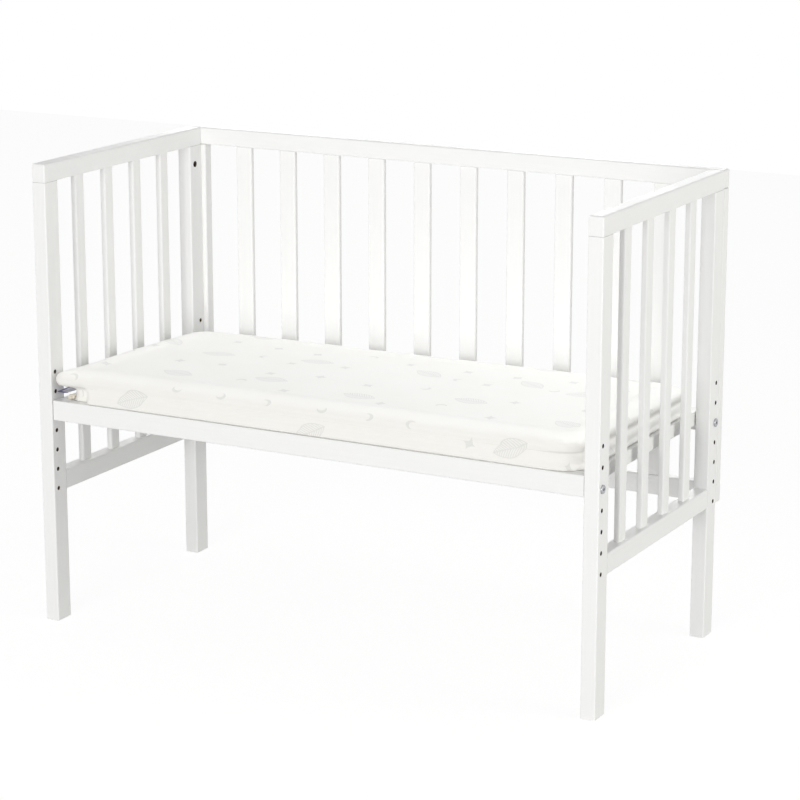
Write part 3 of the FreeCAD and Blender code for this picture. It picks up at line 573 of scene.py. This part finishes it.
CORNER, FRONT_LEFT_CORNER, TOP_RIM, BOTTOM_RIM = 0.042, 0.012, 0.011, 0.003
bevel_edges(mattress, lambda a, b: upright(a, b) and (a.x > 0 or a.y > 0), CORNER, 10)
bevel_edges(mattress, lambda a, b: upright(a, b) and at_front_left(a), FRONT_LEFT_CORNER, 8)
bevel_edges(mattress, lambda a, b: min(a.z, b.z) > block_high.z - NEAR, TOP_RIM, 5)
bevel_edges(mattress, lambda a, b: max(a.z, b.z) < block_low.z + NEAR, BOTTOM_RIM, 3)


def apply_modifier(piece, kind, **settings):
    """Add one modifier, set it up and apply it."""
    bpy.context.view_layer.objects.active = piece
    modifier = piece.modifiers.new(kind.lower(), kind)
    for label, value in settings.items():
        setattr(modifier, label, value)
    bpy.ops.object.modifier_apply(modifier=modifier.name)


apply_modifier(mattress, "REMESH", mode="VOXEL", voxel_size=0.006)
print("skin", len(mattress.data.vertices), "points")

# %% [markdown]
# ## Filling the cover
# A cushion's swell can be drawn by hand, but cloth that is blown up finds it by itself. The cloth has
# a little pressure and no gravity. It is held along the zip line, underneath, and where the foam keeps
# the top flat, so it swells in two rolls round the sides. No point may move further than the swell
# that the block left free. Then one subdivision smooths it.

# %% Where the cloth is held
ZIP_LEVEL = 0.52
seam_z = pad_low.z + ZIP_LEVEL * (pad_high.z - pad_low.z)
FREE_BAND, HELD_BAND, ZIP_DEPTH, ZIP_HALF, FILL_FRAMES = 0.030, 0.070, 0.008, 0.0031, 20


def core_point(point):
    """The nearest point of the pad's middle, which the round corners are drawn about, seen from above."""
    return Vector((min(max(point.x, block_low.x + CORNER), block_high.x - CORNER),
                   min(max(point.y, block_low.y + CORNER), block_high.y - CORNER), 0))


def from_side(point):
    """How far a point is inside the block's outline, seen from above."""
    core = core_point(point)
    outside = math.hypot(point.x - core.x, point.y - core.y)
    if outside > 0:
        return CORNER - outside
    return min(point.x - block_low.x, block_high.x - point.x, point.y - block_low.y, block_high.y - point.y)


print("zip line", round(seam_z / MM, 1), "mm above the floor")

# %% Filling
start = [v.co.copy() for v in mattress.data.vertices]
held = mattress.vertex_groups.new(name="held")
for v in mattress.data.vertices:
    inward = from_side(v.co)
    weight = min(max((inward - FREE_BAND) / (HELD_BAND - FREE_BAND), 0), 1)
    on_zip = inward < ZIP_DEPTH and abs(v.co.z - seam_z) < ZIP_HALF
    if on_zip or v.co.z < block_low.z + MM:
        weight = 1
    if weight:
        held.add([v.index], weight, "REPLACE")
cloth = mattress.modifiers.new("fill", "CLOTH")
cloth.settings.vertex_group_mass = "held"
cloth.settings.use_pressure = True
cloth.settings.uniform_pressure_force = 4
cloth.settings.effector_weights.gravity = 0
cloth.settings.bending_stiffness = 0.3
cloth.settings.quality = 4
cloth.point_cache.frame_start, cloth.point_cache.frame_end = 1, FILL_FRAMES
for frame_number in range(1, FILL_FRAMES + 1):
    scene.frame_set(frame_number)
bpy.context.view_layer.objects.active = mattress
bpy.ops.object.modifier_apply(modifier=cloth.name)
farthest = max((v.co - s).length for v, s in zip(mattress.data.vertices, start))
for v, s in zip(mattress.data.vertices, start):
    moved = v.co - s
    if moved.length > SWELL:
        v.co = s + moved * (SWELL / moved.length)
scene.frame_set(1)
print("cloth moved at most", round(farthest / MM, 2), "mm, capped at", SWELL / MM, "mm")
apply_modifier(mattress, "SUBSURF", levels=1, render_levels=1)
print("mattress", len(mattress.data.polygons), "faces")

# %% [markdown]
# ## Giving the pad its wear
# New foam lies a little unevenly: lower at the back left, with full rolls above and below the zip and
# a sunk line between them. The back is fuller than the front, and the lowest rim is pressed flat on the
# base. At the front left corner the lower roll is drawn in where the zip ends, so the upper one hangs
# over it, and a short pleat runs up beside it. These are broad, soft moves of many points, like strokes
# with a sculpting brush, so each is a formula of a point's place.

# %% Soft steps, and the rolls round the sides
FRONT_LEFT, FRONT_RIGHT, REAR_LEFT, REAR_RIGHT, SAG = 0.99, 1.03, 0.70, 0.82, 2.2
UPPER_ROLL, LOWER_ROLL, ZIP_GROOVE, GROOVE_WIDTH = 0.0024, 0.0018, 0.0011, 0.0024
SIDE_DEPTH, BOTTOM_FILL, BOTTOM_PRESS, REAR_FILL = 0.022, 0.0078, 0.0024, 0.0060
pad_corner = Vector((block_low.x, block_low.y, 0))


def soft(value, low, high):
    """0 below low, 1 above high, and a soft rise between."""
    share = min(max((value - low) / (high - low), 0), 1)
    return share * share * (3 - 2 * share)


def hump(value, middle, width):
    """A soft bump, 1 at the middle."""
    return math.exp(-((value - middle) / width) ** 2)


def height_share(point):
    """How high a point lies in the pad, from 0 at the underside to 1 at the top."""
    return (point.z - pad_low.z) / (pad_high.z - pad_low.z)


def rolls(point):
    """Swell the sides above and below the zip."""
    core = core_point(point)
    outward = Vector((point.x - core.x, point.y - core.y, 0))
    if outward.length < 1e-6:
        return Vector()
    share = height_share(point)
    near_side = 1 - soft(from_side(point), 0.0, SIDE_DEPTH)
    if share < ZIP_LEVEL:
        swell = LOWER_ROLL * math.sin(math.pi * max(share, 0) / ZIP_LEVEL)
    else:
        swell = UPPER_ROLL * math.sin(math.pi * min((share - ZIP_LEVEL) / (1.02 - ZIP_LEVEL), 1))
    swell += BOTTOM_FILL * (1 - soft(share, 0.0, 0.22))
    swell += REAR_FILL * soft(outward.normalized().y, 0.6, 1.0)
    fuller = soft(point.x, -0.33, -0.20)
    swell -= ZIP_GROOVE * (0.35 + 0.65 * fuller) * hump(point.z, seam_z, GROOVE_WIDTH)
    return outward.normalized() * swell * near_side


print("rolls up to", round((BOTTOM_FILL + REAR_FILL) / MM, 1), "mm")

# %% The front left corner
OVERHANG, DRAWN_IN = Vector((-0.0090, -0.0070, 0)), Vector((0.0165, 0.0120, 0))
PLEAT_INSET, PLEAT_LEAN, PLEAT_WIDTH, PLEAT_DEPTH = 0.034, 0.005, 0.0085, 0.0026
FULLNESS_INSET, FULLNESS_WIDTH, FULLNESS = 0.052, 0.009, 0.0012


def corner_moves(point):
    """The front left corner: the upper roll hangs over the lower one, beside a pleat."""
    share = height_share(point)
    near_corner = 1 - soft((Vector((point.x, point.y, 0)) - pad_corner).length, 0.020, 0.060)
    near_side = 1 - soft(from_side(point), 0.002, 0.030)
    under = 1 - soft(share, 0.34, 0.54)
    over = soft(share, 0.44, 0.58) * (1 - 0.5 * soft(share, 0.80, 1.02))
    move = OVERHANG * near_corner * over + DRAWN_IN * near_corner * under
    pleat = hump(point.x, block_low.x + PLEAT_INSET + PLEAT_LEAN * share, PLEAT_WIDTH)
    pleat *= 1 - soft(share, 0.62, 0.95)
    at_front = 1 - soft(point.y - block_low.y, 0.004, 0.024)
    move.y += PLEAT_DEPTH * pleat * at_front
    full = hump(point.x, block_low.x + FULLNESS_INSET, FULLNESS_WIDTH) * (1 - soft(share, 0.75, 1.0))
    move.y -= FULLNESS * full * at_front
    return move * max(near_side, at_front)


print("corner hangs over by", round(OVERHANG.length / MM, 1), "mm")

# %% Settling, and all of the moves
WAVE, WAVES, RIPPLE, RIPPLES = 0.0011, 9, 0.0004, 31


def settled(point):
    """Where the point lies once the foam has settled towards the back and the left."""
    across = min(max((point.x - pad_low.x) / (pad_high.x - pad_low.x), 0), 1)
    deep = min(max((point.y - pad_low.y) / (pad_high.y - pad_low.y), 0), 1)
    front = FRONT_LEFT + (FRONT_RIGHT - FRONT_LEFT) * across
    rear = REAR_LEFT + (REAR_RIGHT - REAR_LEFT) * across
    share = front + (rear - front) * deep ** SAG
    return pad_low.z + (point.z - pad_low.z) * share


def worn(point):
    """All of the moves together, with a faint unevenness of the top."""
    moved = point + rolls(point) + corner_moves(point)
    top = soft(height_share(point), 0.6, 1.0)
    uneven = WAVE * noise.noise(point * WAVES) + RIPPLE * noise.noise(point * RIPPLES)
    low_rim = 1 - soft(height_share(point), 0.0, 0.2)
    moved.z = max(settled(moved) + uneven * top - BOTTOM_PRESS * low_rim, pad_low.z + 0.1 * MM)
    return moved


def mesh_box(piece):
    """The lowest and highest corner of a piece's mesh, in millimetres."""
    places = [v.co for v in piece.data.vertices]
    return [[round(pick(place[axis] for place in places) / MM, 1) for axis in range(3)]
            for pick in (min, max)]


for v in mattress.data.vertices:
    v.co = worn(v.co)
only(mattress)
bpy.ops.object.shade_smooth()
print("mattress from and to", mesh_box(mattress), "mm")

# %% [markdown]
# ## The cover's own map
# A knit follows its cloth, and the cloth wraps over the rim, so the pattern needs a map that lies flat
# on the top and runs on down the sides. Unwrapping by hand would need seams, and here a formula does:
# each point is pushed out from the pad's middle by the way that it lies down the side. The underside
# has a map of its own. One unit of the map is one metre of cloth.

# %% Map of the cover
layer = mattress.data.uv_layers.new(name="cloth_way")
points = mattress.data.vertices
for face in mattress.data.polygons:
    under = face.normal.z < -0.7
    for corner in face.loop_indices:
        point = points[mattress.data.loops[corner].vertex_index].co
        if under:
            layer.data[corner].uv = (point.x + 2, point.y)
            continue
        core = core_point(point)
        outward = Vector((point.x - core.x, point.y - core.y))
        reach = outward.length
        drop = max(pad_high.z - point.z, 0) * (1 - soft(from_side(point), 0.0, 0.02))
        if reach > 1e-6:
            outward *= (reach + drop) / reach
        layer.data[corner].uv = (core.x + outward.x, core.y + outward.y)
print("map", layer.name, "on", len(layer.data), "face corners")

# %% [markdown]
# ## The knitted cover
# The cover is a white double knit with small grey figures knitted in: sparkles, crescents and hatched
# leaves, scattered so that no two neighbours match. A picture of the cloth would blur near by. Here a
# Voronoi texture gives each figure its place and its turn, a few lines of arithmetic draw it, and a
# second group draws the stitches, which the figures flatten a little.

# %% Knit group
knit_group, enter, leave = new_group(
    "knit_stitches", [("Vector", "vector"), ("Stitch Width", "value", 0.0018)], [("Height", "value")])
column, row, _ = split(knit_group, enter["Vector"])
per_stitch = calc(knit_group, "DIVIDE", math.pi, enter["Stitch Width"])
rib = calc(knit_group, "ABSOLUTE", calc(knit_group, "SINE", calc(knit_group, "MULTIPLY", column, per_stitch)))
rows = calc(knit_group, "MULTIPLY", calc(knit_group, "MULTIPLY", row, per_stitch), 2.4)
slant = calc(knit_group, "ADD", rows, calc(knit_group, "MULTIPLY", rib, 2.6))
loop = calc(knit_group, "MULTIPLY_ADD", calc(knit_group, "SINE", slant), 0.5, 0.5)
put(knit_group, calc(knit_group, "ADD", calc(knit_group, "MULTIPLY", rib, 0.6),
                     calc(knit_group, "MULTIPLY", loop, 0.4)), leave["Height"])
print("group", knit_group.name)


# %% Helpers for figures
def scattered(tree, where, pitch, jitter):
    """For each place: the nearest figure's middle, the way to it, and its random colour."""
    cells = tree.nodes.new("ShaderNodeTexVoronoi")
    cells.voronoi_dimensions = "2D"
    put(tree, where, cells.inputs["Vector"])
    cells.inputs["Scale"].default_value = 1 / pitch
    cells.inputs["Randomness"].default_value = jitter
    away = tree.nodes.new("ShaderNodeVectorMath")
    away.operation = "SUBTRACT"
    put(tree, where, away.inputs[0])
    put(tree, cells.outputs["Position"], away.inputs[1])
    chance = tree.nodes.new("ShaderNodeSeparateColor")
    put(tree, cells.outputs["Color"], chance.inputs[0])
    return cells.outputs["Position"], away.outputs[0], chance.outputs


def turned(tree, vector, angle):
    """X and Y of a flat vector, turned."""
    node = tree.nodes.new("ShaderNodeVectorRotate")
    node.rotation_type = "Z_AXIS"
    put(tree, vector, node.inputs["Vector"])
    put(tree, angle, node.inputs["Angle"])
    return split(tree, node.outputs[0])[:2]


def inside(tree, value, limit, edge=0.0004):
    """1 where the value is under the limit, with a soft edge as wide as a stitch."""
    return ramp(tree, value, limit + edge, limit - edge)


def length_of(tree, across, up):
    """The length of a flat vector."""
    squares = (calc(tree, "MULTIPLY", part, part) for part in (across, up))
    return calc(tree, "SQRT", calc(tree, "ADD", *squares))


print("helpers for figures ready")

# %% Leaves
figure_group, enter, leave = new_group("scattered_figures", [("Vector", "vector")], [("Figure", "value")])
tree = figure_group
LEAF_PITCH, LEAF_JITTER, LEAF_LENGTH, LEAF_WIDTH, LEAF_LINE = 0.165, 0.45, 0.029, 0.015, 0.0009
_, to_leaf, chance = scattered(tree, enter["Vector"], LEAF_PITCH, LEAF_JITTER)
lengthwise, sideways = turned(tree, to_leaf, calc(tree, "MULTIPLY_ADD", chance[0], 1.2, -0.6))
leaf_bow = calc(tree, "MULTIPLY", calc(tree, "MULTIPLY", lengthwise, lengthwise),
                LEAF_WIDTH / LEAF_LENGTH ** 2)
leaf_side = calc(tree, "ADD", calc(tree, "ABSOLUTE", sideways), leaf_bow)
in_leaf = inside(tree, leaf_side, LEAF_WIDTH)
near_rim = inside(tree, beside(tree, leaf_side, LEAF_WIDTH), LEAF_LINE)
hatch_way = calc(tree, "ADD", calc(tree, "MULTIPLY", lengthwise, 1400),
                 calc(tree, "MULTIPLY", calc(tree, "ABSOLUTE", sideways), 1100))
hatch = ramp(tree, calc(tree, "SINE", hatch_way), -0.1, 0.5)
vein = inside(tree, calc(tree, "ABSOLUTE", sideways), LEAF_LINE)
leaf = calc(tree, "MAXIMUM", calc(tree, "MULTIPLY", in_leaf, calc(tree, "MAXIMUM", hatch, vein)), near_rim)
print("leaves", 2 * LEAF_LENGTH, "m long")

# %% Sparkles and crescents
SMALL_PITCH, SMALL_JITTER, SPARKLE_REACH, MOON_RADIUS, MOON_SHARE = 0.088, 0.42, 0.0125, 0.0085, 0.34
middle, to_small, chance = scattered(tree, enter["Vector"], SMALL_PITCH, SMALL_JITTER)
across, up = turned(tree, to_small, calc(tree, "MULTIPLY", chance[0], 6.3))
POINTED = 0.62
spiky = calc(tree, "ADD", calc(tree, "POWER", calc(tree, "ABSOLUTE", across), POINTED),
             calc(tree, "POWER", calc(tree, "ABSOLUTE", up), POINTED))
sparkle = inside(tree, spiky, SPARKLE_REACH ** POINTED, 0.0012)
bite = length_of(tree, calc(tree, "SUBTRACT", across, MOON_RADIUS * 0.5), up)
moon = calc(tree, "SUBTRACT", inside(tree, length_of(tree, across, up), MOON_RADIUS),
            inside(tree, bite, MOON_RADIUS * 0.82), clamp=True)
is_moon = calc(tree, "GREATER_THAN", chance[1], 1 - MOON_SHARE)
small = calc(tree, "ADD", calc(tree, "MULTIPLY", moon, is_moon),
             calc(tree, "MULTIPLY", sparkle, calc(tree, "SUBTRACT", 1.0, is_moon)))
_, leaf_from_small, _ = scattered(tree, middle, LEAF_PITCH, LEAF_JITTER)
leaf_x, leaf_y, _ = split(tree, leaf_from_small)
clear = calc(tree, "GREATER_THAN", length_of(tree, leaf_x, leaf_y), LEAF_LENGTH + SPARKLE_REACH)
put(tree, calc(tree, "MAXIMUM", leaf, calc(tree, "MULTIPLY", small, clear)), leave["Figure"])
print("sparkles", 2 * SPARKLE_REACH, "m across")

# %% Cover material
CLOTH_WHITE, CLOTH_LIGHT = (0.905, 0.892, 0.850), (0.915, 0.905, 0.868)
# CLOTH_SHADE is painted shade for the hollows between the stitches.
CLOTH_SHADE, CLOTH_GREY = (0.80, 0.79, 0.76), (0.765, 0.765, 0.735)
STITCH_WIDTH, STITCH_SHADE, STITCH_HEIGHT = 0.0018, 0.10, 0.00024


def cloth_map(tree, name="cloth_way"):
    """The piece's own map, as a vector."""
    node = tree.nodes.new("ShaderNodeUVMap")
    node.uv_map = name
    return node.outputs[0]


cover, tree, shader = new_material("knitted_cover")
way = cloth_map(tree)
figure = place_group(tree, figure_group, Vector=way)["Figure"]
stitch = place_group(tree, knit_group, Vector=way, Stitch_Width=STITCH_WIDTH)["Height"]
cloud = noise_at(tree, object_place(tree), 14, 2.0)
fuzz = noise_at(tree, object_place(tree), 1400, 1.0)
white = mix_colours(tree, ramp(tree, cloud, 0.3, 0.7), CLOTH_WHITE, CLOTH_LIGHT)
# The hollows between the stitches are darkened towards CLOTH_SHADE: painted shade.
between = calc(tree, "MULTIPLY", calc(tree, "SUBTRACT", 1.0, stitch), STITCH_SHADE)
shaded = mix_colours(tree, between, white, CLOTH_SHADE)
fleck = calc(tree, "MULTIPLY", figure, ramp(tree, fuzz, 0.25, 0.6, 0.55, 0.9))
put(tree, mix_colours(tree, fleck, shaded, CLOTH_GREY), shader.inputs["Base Color"])
put(tree, ramp(tree, fuzz, 0.2, 0.8, 0.82, 0.95), shader.inputs["Roughness"])
shader.inputs["Sheen Weight"].default_value = 0.08
shader.inputs["Specular IOR Level"].default_value = 0.15
raised(tree, shader, calc(tree, "SUBTRACT", stitch, calc(tree, "MULTIPLY", figure, 0.9)), STITCH_HEIGHT, 0.5)
mattress.data.materials.clear()
mattress.data.materials.append(cover)

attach(mattress, "mattress")
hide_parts("mattress_cover", "mattress_core")
print("cover on", mattress.name)

# %% [markdown]
# ## What each lamp lights
# A lamp lights everything that it reaches. The mattress is lit more evenly than the wood, though, so
# light linking gives it a lamp of its own and takes it out of two others. The lamp behind the crib
# leaves out the floor too. The links come only now, because they need the mattress.

# %% What each lamp lights
only_mattress = bpy.data.collections.new("lit_by_the_mattress_lamp")
only_mattress.objects.link(mattress)
mattress_lamp.light_linking.receiver_collection = only_mattress
mattress_lamp.light_linking.blocker_collection = only_mattress
for lamp, left_out in ((right_lamp, [mattress]), (back_lamp, [mattress, floor])):
    kept_dark = bpy.data.collections.new("left_out_by_the_" + lamp.name)
    lamp.light_linking.receiver_collection = kept_dark
    for piece in left_out:
        kept_dark.objects.link(piece)
    for link in kept_dark.collection_objects:
        link.light_linking.link_state = "EXCLUDE"
    print(lamp.name, "leaves out", [piece.name for piece in left_out])

# %% [markdown]
# ## The zip
# A zip runs right round the pad in the sunk line between the two rolls. Only its cloth band and the
# fine ridge of its teeth show. It could be a tube, but a band that follows the pad's outline sits in
# the groove as sewn tape does. The outline is a flat plate with rounded corners; its face is taken
# away, its edge is extruded upwards, and the band goes through the same moves as the pad.

# %% Zip band
BAND_HEIGHT, BAND_SINK, BAND_THICKNESS = 0.0026, 0.0006, 0.0016
plate_low = block_low + Vector((BAND_SINK, BAND_SINK, 0))
plate_high = block_high - Vector((BAND_SINK, BAND_SINK, 0))
plate_middle = ((plate_low.x + plate_high.x) / 2, (plate_low.y + plate_high.y) / 2, seam_z - BAND_HEIGHT / 2)
zip_band = added("mattress_zip", bpy.ops.mesh.primitive_plane_add, plate_middle,
                 (plate_high.x - plate_low.x, plate_high.y - plate_low.y, 1))
select_parts(zip_band, "VERT", lambda v: v.co.x > 0 or v.co.y > 0)
bpy.ops.mesh.bevel(offset=CORNER, segments=14, affect="VERTICES")
bpy.ops.object.mode_set(mode="OBJECT")
select_parts(zip_band, "VERT", lambda v: v.co.x < plate_low.x + NEAR and v.co.y < plate_low.y + NEAR)
bpy.ops.mesh.bevel(offset=FRONT_LEFT_CORNER, segments=10, affect="VERTICES")
bpy.ops.mesh.select_mode(type="FACE")
bpy.ops.mesh.select_all(action="SELECT")
bpy.ops.mesh.delete(type="ONLY_FACE")
bpy.ops.object.mode_set(mode="OBJECT")
select_parts(zip_band, "EDGE", lambda a, b: (a - b).length > 0.1)
bpy.ops.mesh.subdivide(number_cuts=110)
bpy.ops.mesh.select_all(action="SELECT")
bpy.ops.mesh.extrude_edges_move(TRANSFORM_OT_translate={"value": (0, 0, BAND_HEIGHT)})
bpy.ops.mesh.select_all(action="SELECT")
bpy.ops.mesh.normals_make_consistent(inside=False)
bpy.ops.object.mode_set(mode="OBJECT")
for v in zip_band.data.vertices:
    v.co = worn(v.co)
apply_modifier(zip_band, "SOLIDIFY", thickness=BAND_THICKNESS, offset=0)
print("zip band", len(zip_band.data.polygons), "faces")

# %% Zip material
zip_tape, tree, shader = new_material("zip_tape")
where = object_place(tree)
along_x, along_y, _ = split(tree, where)
TOOTH_RUN, TAPE_SHADE, TAPE_LIGHT = 4200, (0.80, 0.785, 0.74), (0.89, 0.875, 0.83)
run = calc(tree, "MULTIPLY", calc(tree, "ADD", along_x, along_y), TOOTH_RUN)
tooth = ramp(tree, calc(tree, "SINE", run), -0.3, 0.3)
# Between the teeth the tape is darkened towards TAPE_SHADE: painted shade in the gaps.
put(tree, mix_colours(tree, calc(tree, "MULTIPLY", tooth, 0.6), TAPE_SHADE, TAPE_LIGHT),
    shader.inputs["Base Color"])
put(tree, ramp(tree, noise_at(tree, where, 900), 0.3, 0.7, 0.55, 0.75), shader.inputs["Roughness"])
raised(tree, shader, tooth, 0.0003)
zip_band.data.materials.append(zip_tape)
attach(zip_band, "mattress")
print("zip on", zip_band.name)

# %% [markdown]
# ## The woven label
# A short blue-grey ribbon is folded double and caught in the seam at the front left corner, where it
# lies almost level above the base. It has a pale field and a darker border. The ribbon is a strip that is
# extruded outwards, round its fold and back under itself, and then thickened, as the real one is one
# ribbon laid double.

# %% Label
LABEL_LONG, LABEL_WIDE, LABEL_ROOT, LABEL_TURN, RIBBON = 0.034, 0.0190, 0.003, 4, 0.0004
LABEL_WAVE, LABEL_LIFT = 0.0008, 0.0012
label_low, label_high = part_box("mattress_label")
label_place = Vector((-0.4445, -0.2055, (label_low.z + label_high.z) / 2))
label = added("woven_label", bpy.ops.mesh.primitive_plane_add, (0, 0, 0), (LABEL_ROOT, LABEL_LONG, 1))
select_parts(label, "EDGE", lambda a, b: max(a.x, b.x) < 0)
outward = [(-0.0055, 0, 0.0002), (-0.0052, 0, 0.0001), (-0.0045, 0, -0.0001)]
round_the_fold = [(-0.0008, 0, -0.0003), (0, 0, -0.0004), (0.0008, 0, -0.0003)]
back_again = [(0.0050, 0, 0), (0.0052, 0, 0.0001), (0.0052, 0, 0.0002)]
for step in outward + round_the_fold + back_again:
    bpy.ops.mesh.extrude_edges_move(TRANSFORM_OT_translate={"value": step})
bpy.ops.mesh.select_all(action="SELECT")
bpy.ops.mesh.normals_make_consistent(inside=False)
bpy.ops.object.mode_set(mode="OBJECT")
select_parts(label, "EDGE", lambda a, b: abs(a.y - b.y) > 0.01)
bpy.ops.mesh.subdivide(number_cuts=14)
bpy.ops.object.mode_set(mode="OBJECT")
for v in label.data.vertices:
    free = min(max(-v.co.x / LABEL_WIDE, 0), 1)
    v.co.z += LABEL_WAVE * free * math.sin(v.co.y / LABEL_LONG * 4.2 + 0.7) + LABEL_LIFT * free
print("ribbon", len(label.data.vertices), "points")


# %% Turning the label into place
def turn_and_move(piece, degrees, middle, way=(0, 0, 0)):
    """Turn a whole mesh about an upright line, then move it, so that its object stays at the origin."""
    only(piece)
    bpy.ops.object.mode_set(mode="EDIT")
    bpy.ops.mesh.select_all(action="SELECT")
    bpy.ops.transform.rotate(value=math.radians(degrees), orient_axis="Z", center_override=middle)
    bpy.ops.transform.translate(value=way)
    bpy.ops.object.mode_set(mode="OBJECT")


turn_and_move(label, LABEL_TURN, (0, 0, 0), label_place)
apply_modifier(label, "SOLIDIFY", thickness=RIBBON, offset=0)
apply_modifier(label, "SUBSURF", levels=1, render_levels=1)
bpy.ops.object.shade_smooth()
print("label from and to", mesh_box(label), "mm")

# %% Label material
ribbon, tree, shader = new_material("woven_ribbon")
where = object_place(tree)
across, along, _ = split(tree, where)
TWILL_RUN = 9000
twill_run = calc(tree, "MULTIPLY", calc(tree, "ADD", across, along), TWILL_RUN)
twill = ramp(tree, calc(tree, "SINE", twill_run), -0.4, 0.4)
off_middle = beside(tree, along, label_place.y)
SIDE_HEM, SIDE_HEM_FULL, END_HEM, END_HEM_FULL = 0.0048, 0.0038, 0.0068, 0.0060
hem = ramp(tree, off_middle, LABEL_LONG / 2 - SIDE_HEM, LABEL_LONG / 2 - SIDE_HEM_FULL)
outer_x = label_place.x - LABEL_WIDE
outer_edge = ramp(tree, across, outer_x + END_HEM, outer_x + END_HEM_FULL)
hem = calc(tree, "MAXIMUM", hem, outer_edge)
FIELD_BLUE, FIELD_PALE, HEM_BLUE = (0.64, 0.64, 0.76), (0.78, 0.78, 0.88), (0.15, 0.15, 0.34)
field = mix_colours(tree, twill, FIELD_BLUE, FIELD_PALE)
put(tree, mix_colours(tree, hem, field, HEM_BLUE), shader.inputs["Base Color"])
put(tree, ramp(tree, twill, 0.0, 1.0, 0.60, 0.75), shader.inputs["Roughness"])
shader.inputs["Sheen Weight"].default_value = 0.1
raised(tree, shader, twill, 0.00012)
label.data.materials.append(ribbon)
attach(label, "mattress")
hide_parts("mattress_label")
print("label on", label.name)

# %% [markdown]
# ## The zip's slider
# Where the zip ends, its little slider hangs below the label with its pull. It is a moulded block with
# a waist that narrows in front, and a pull with an eye. The block could be a plain box, but its front
# is inset and drawn in, and its edges are rounded, because a close view shows exactly that.

# %% Slider
slider_low, slider_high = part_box("zip_slider")
SLIDER_SIZE, SLIDER_RISE, SLIDER_TURN = (0.0088, 0.0062, 0.0064), 0.002, -28
slider_middle = (slider_low + slider_high) / 2 + Vector((0, 0, SLIDER_RISE))
slider = added("zip_slider_and_pull", bpy.ops.mesh.primitive_cube_add, slider_middle, SLIDER_SIZE)
select_parts(slider, "FACE", lambda f: f.normal.y < -0.9)
bpy.ops.mesh.inset(thickness=0.0014)
bpy.ops.transform.translate(value=(0, -0.0012, 0))
bpy.ops.mesh.inset(thickness=0.0008)
bpy.ops.transform.translate(value=(0, 0.0008, 0))
bpy.ops.object.mode_set(mode="OBJECT")
apply_modifier(slider, "BEVEL", width=0.0009, segments=3, limit_method="ANGLE")
PULL_PLACE, PULL_RADIUS, PULL_WIRE = Vector((-0.0030, -0.0042, -0.0008)), 0.0026, 0.0007
bpy.ops.mesh.primitive_torus_add(major_radius=PULL_RADIUS, minor_radius=PULL_WIRE, major_segments=28,
                                 minor_segments=10, location=slider_middle + PULL_PLACE,
                                 rotation=(math.radians(78), 0, math.radians(-20)))
bpy.ops.object.transform_apply(location=True, rotation=True, scale=True)
slider.select_set(True)
bpy.context.view_layer.objects.active = slider
bpy.ops.object.join()
turn_and_move(slider, SLIDER_TURN, slider_middle)
bpy.ops.object.shade_smooth_by_angle(angle=math.radians(35))
slider.data.materials.clear()
print("slider", len(slider.data.polygons), "faces")

# %% Slider material
beige, tree, shader = new_material("beige_slider")
where = object_place(tree)
DARK_BEIGE, LIGHT_BEIGE = (0.70, 0.65, 0.54), (0.78, 0.73, 0.62)
put(tree, mix_colours(tree, noise_at(tree, where, 700), DARK_BEIGE, LIGHT_BEIGE), shader.inputs["Base Color"])
put(tree, ramp(tree, noise_at(tree, where, 300), 0.3, 0.7, 0.40, 0.55), shader.inputs["Roughness"])
raised(tree, shader, noise_at(tree, where, 1500), 0.00005)
slider.data.materials.append(beige)
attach(slider, "mattress")
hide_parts("zip_slider")
print("slider on", slider.name)

# %% [markdown]
# ## The size
# The box round every piece that is shown, apart from the floor, is printed. The cloth of the mattress
# stands a little proud of its solids.

# %% Sizes
low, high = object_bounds()
print("visual box", [round(v, 4) for v in (*low, *high)])
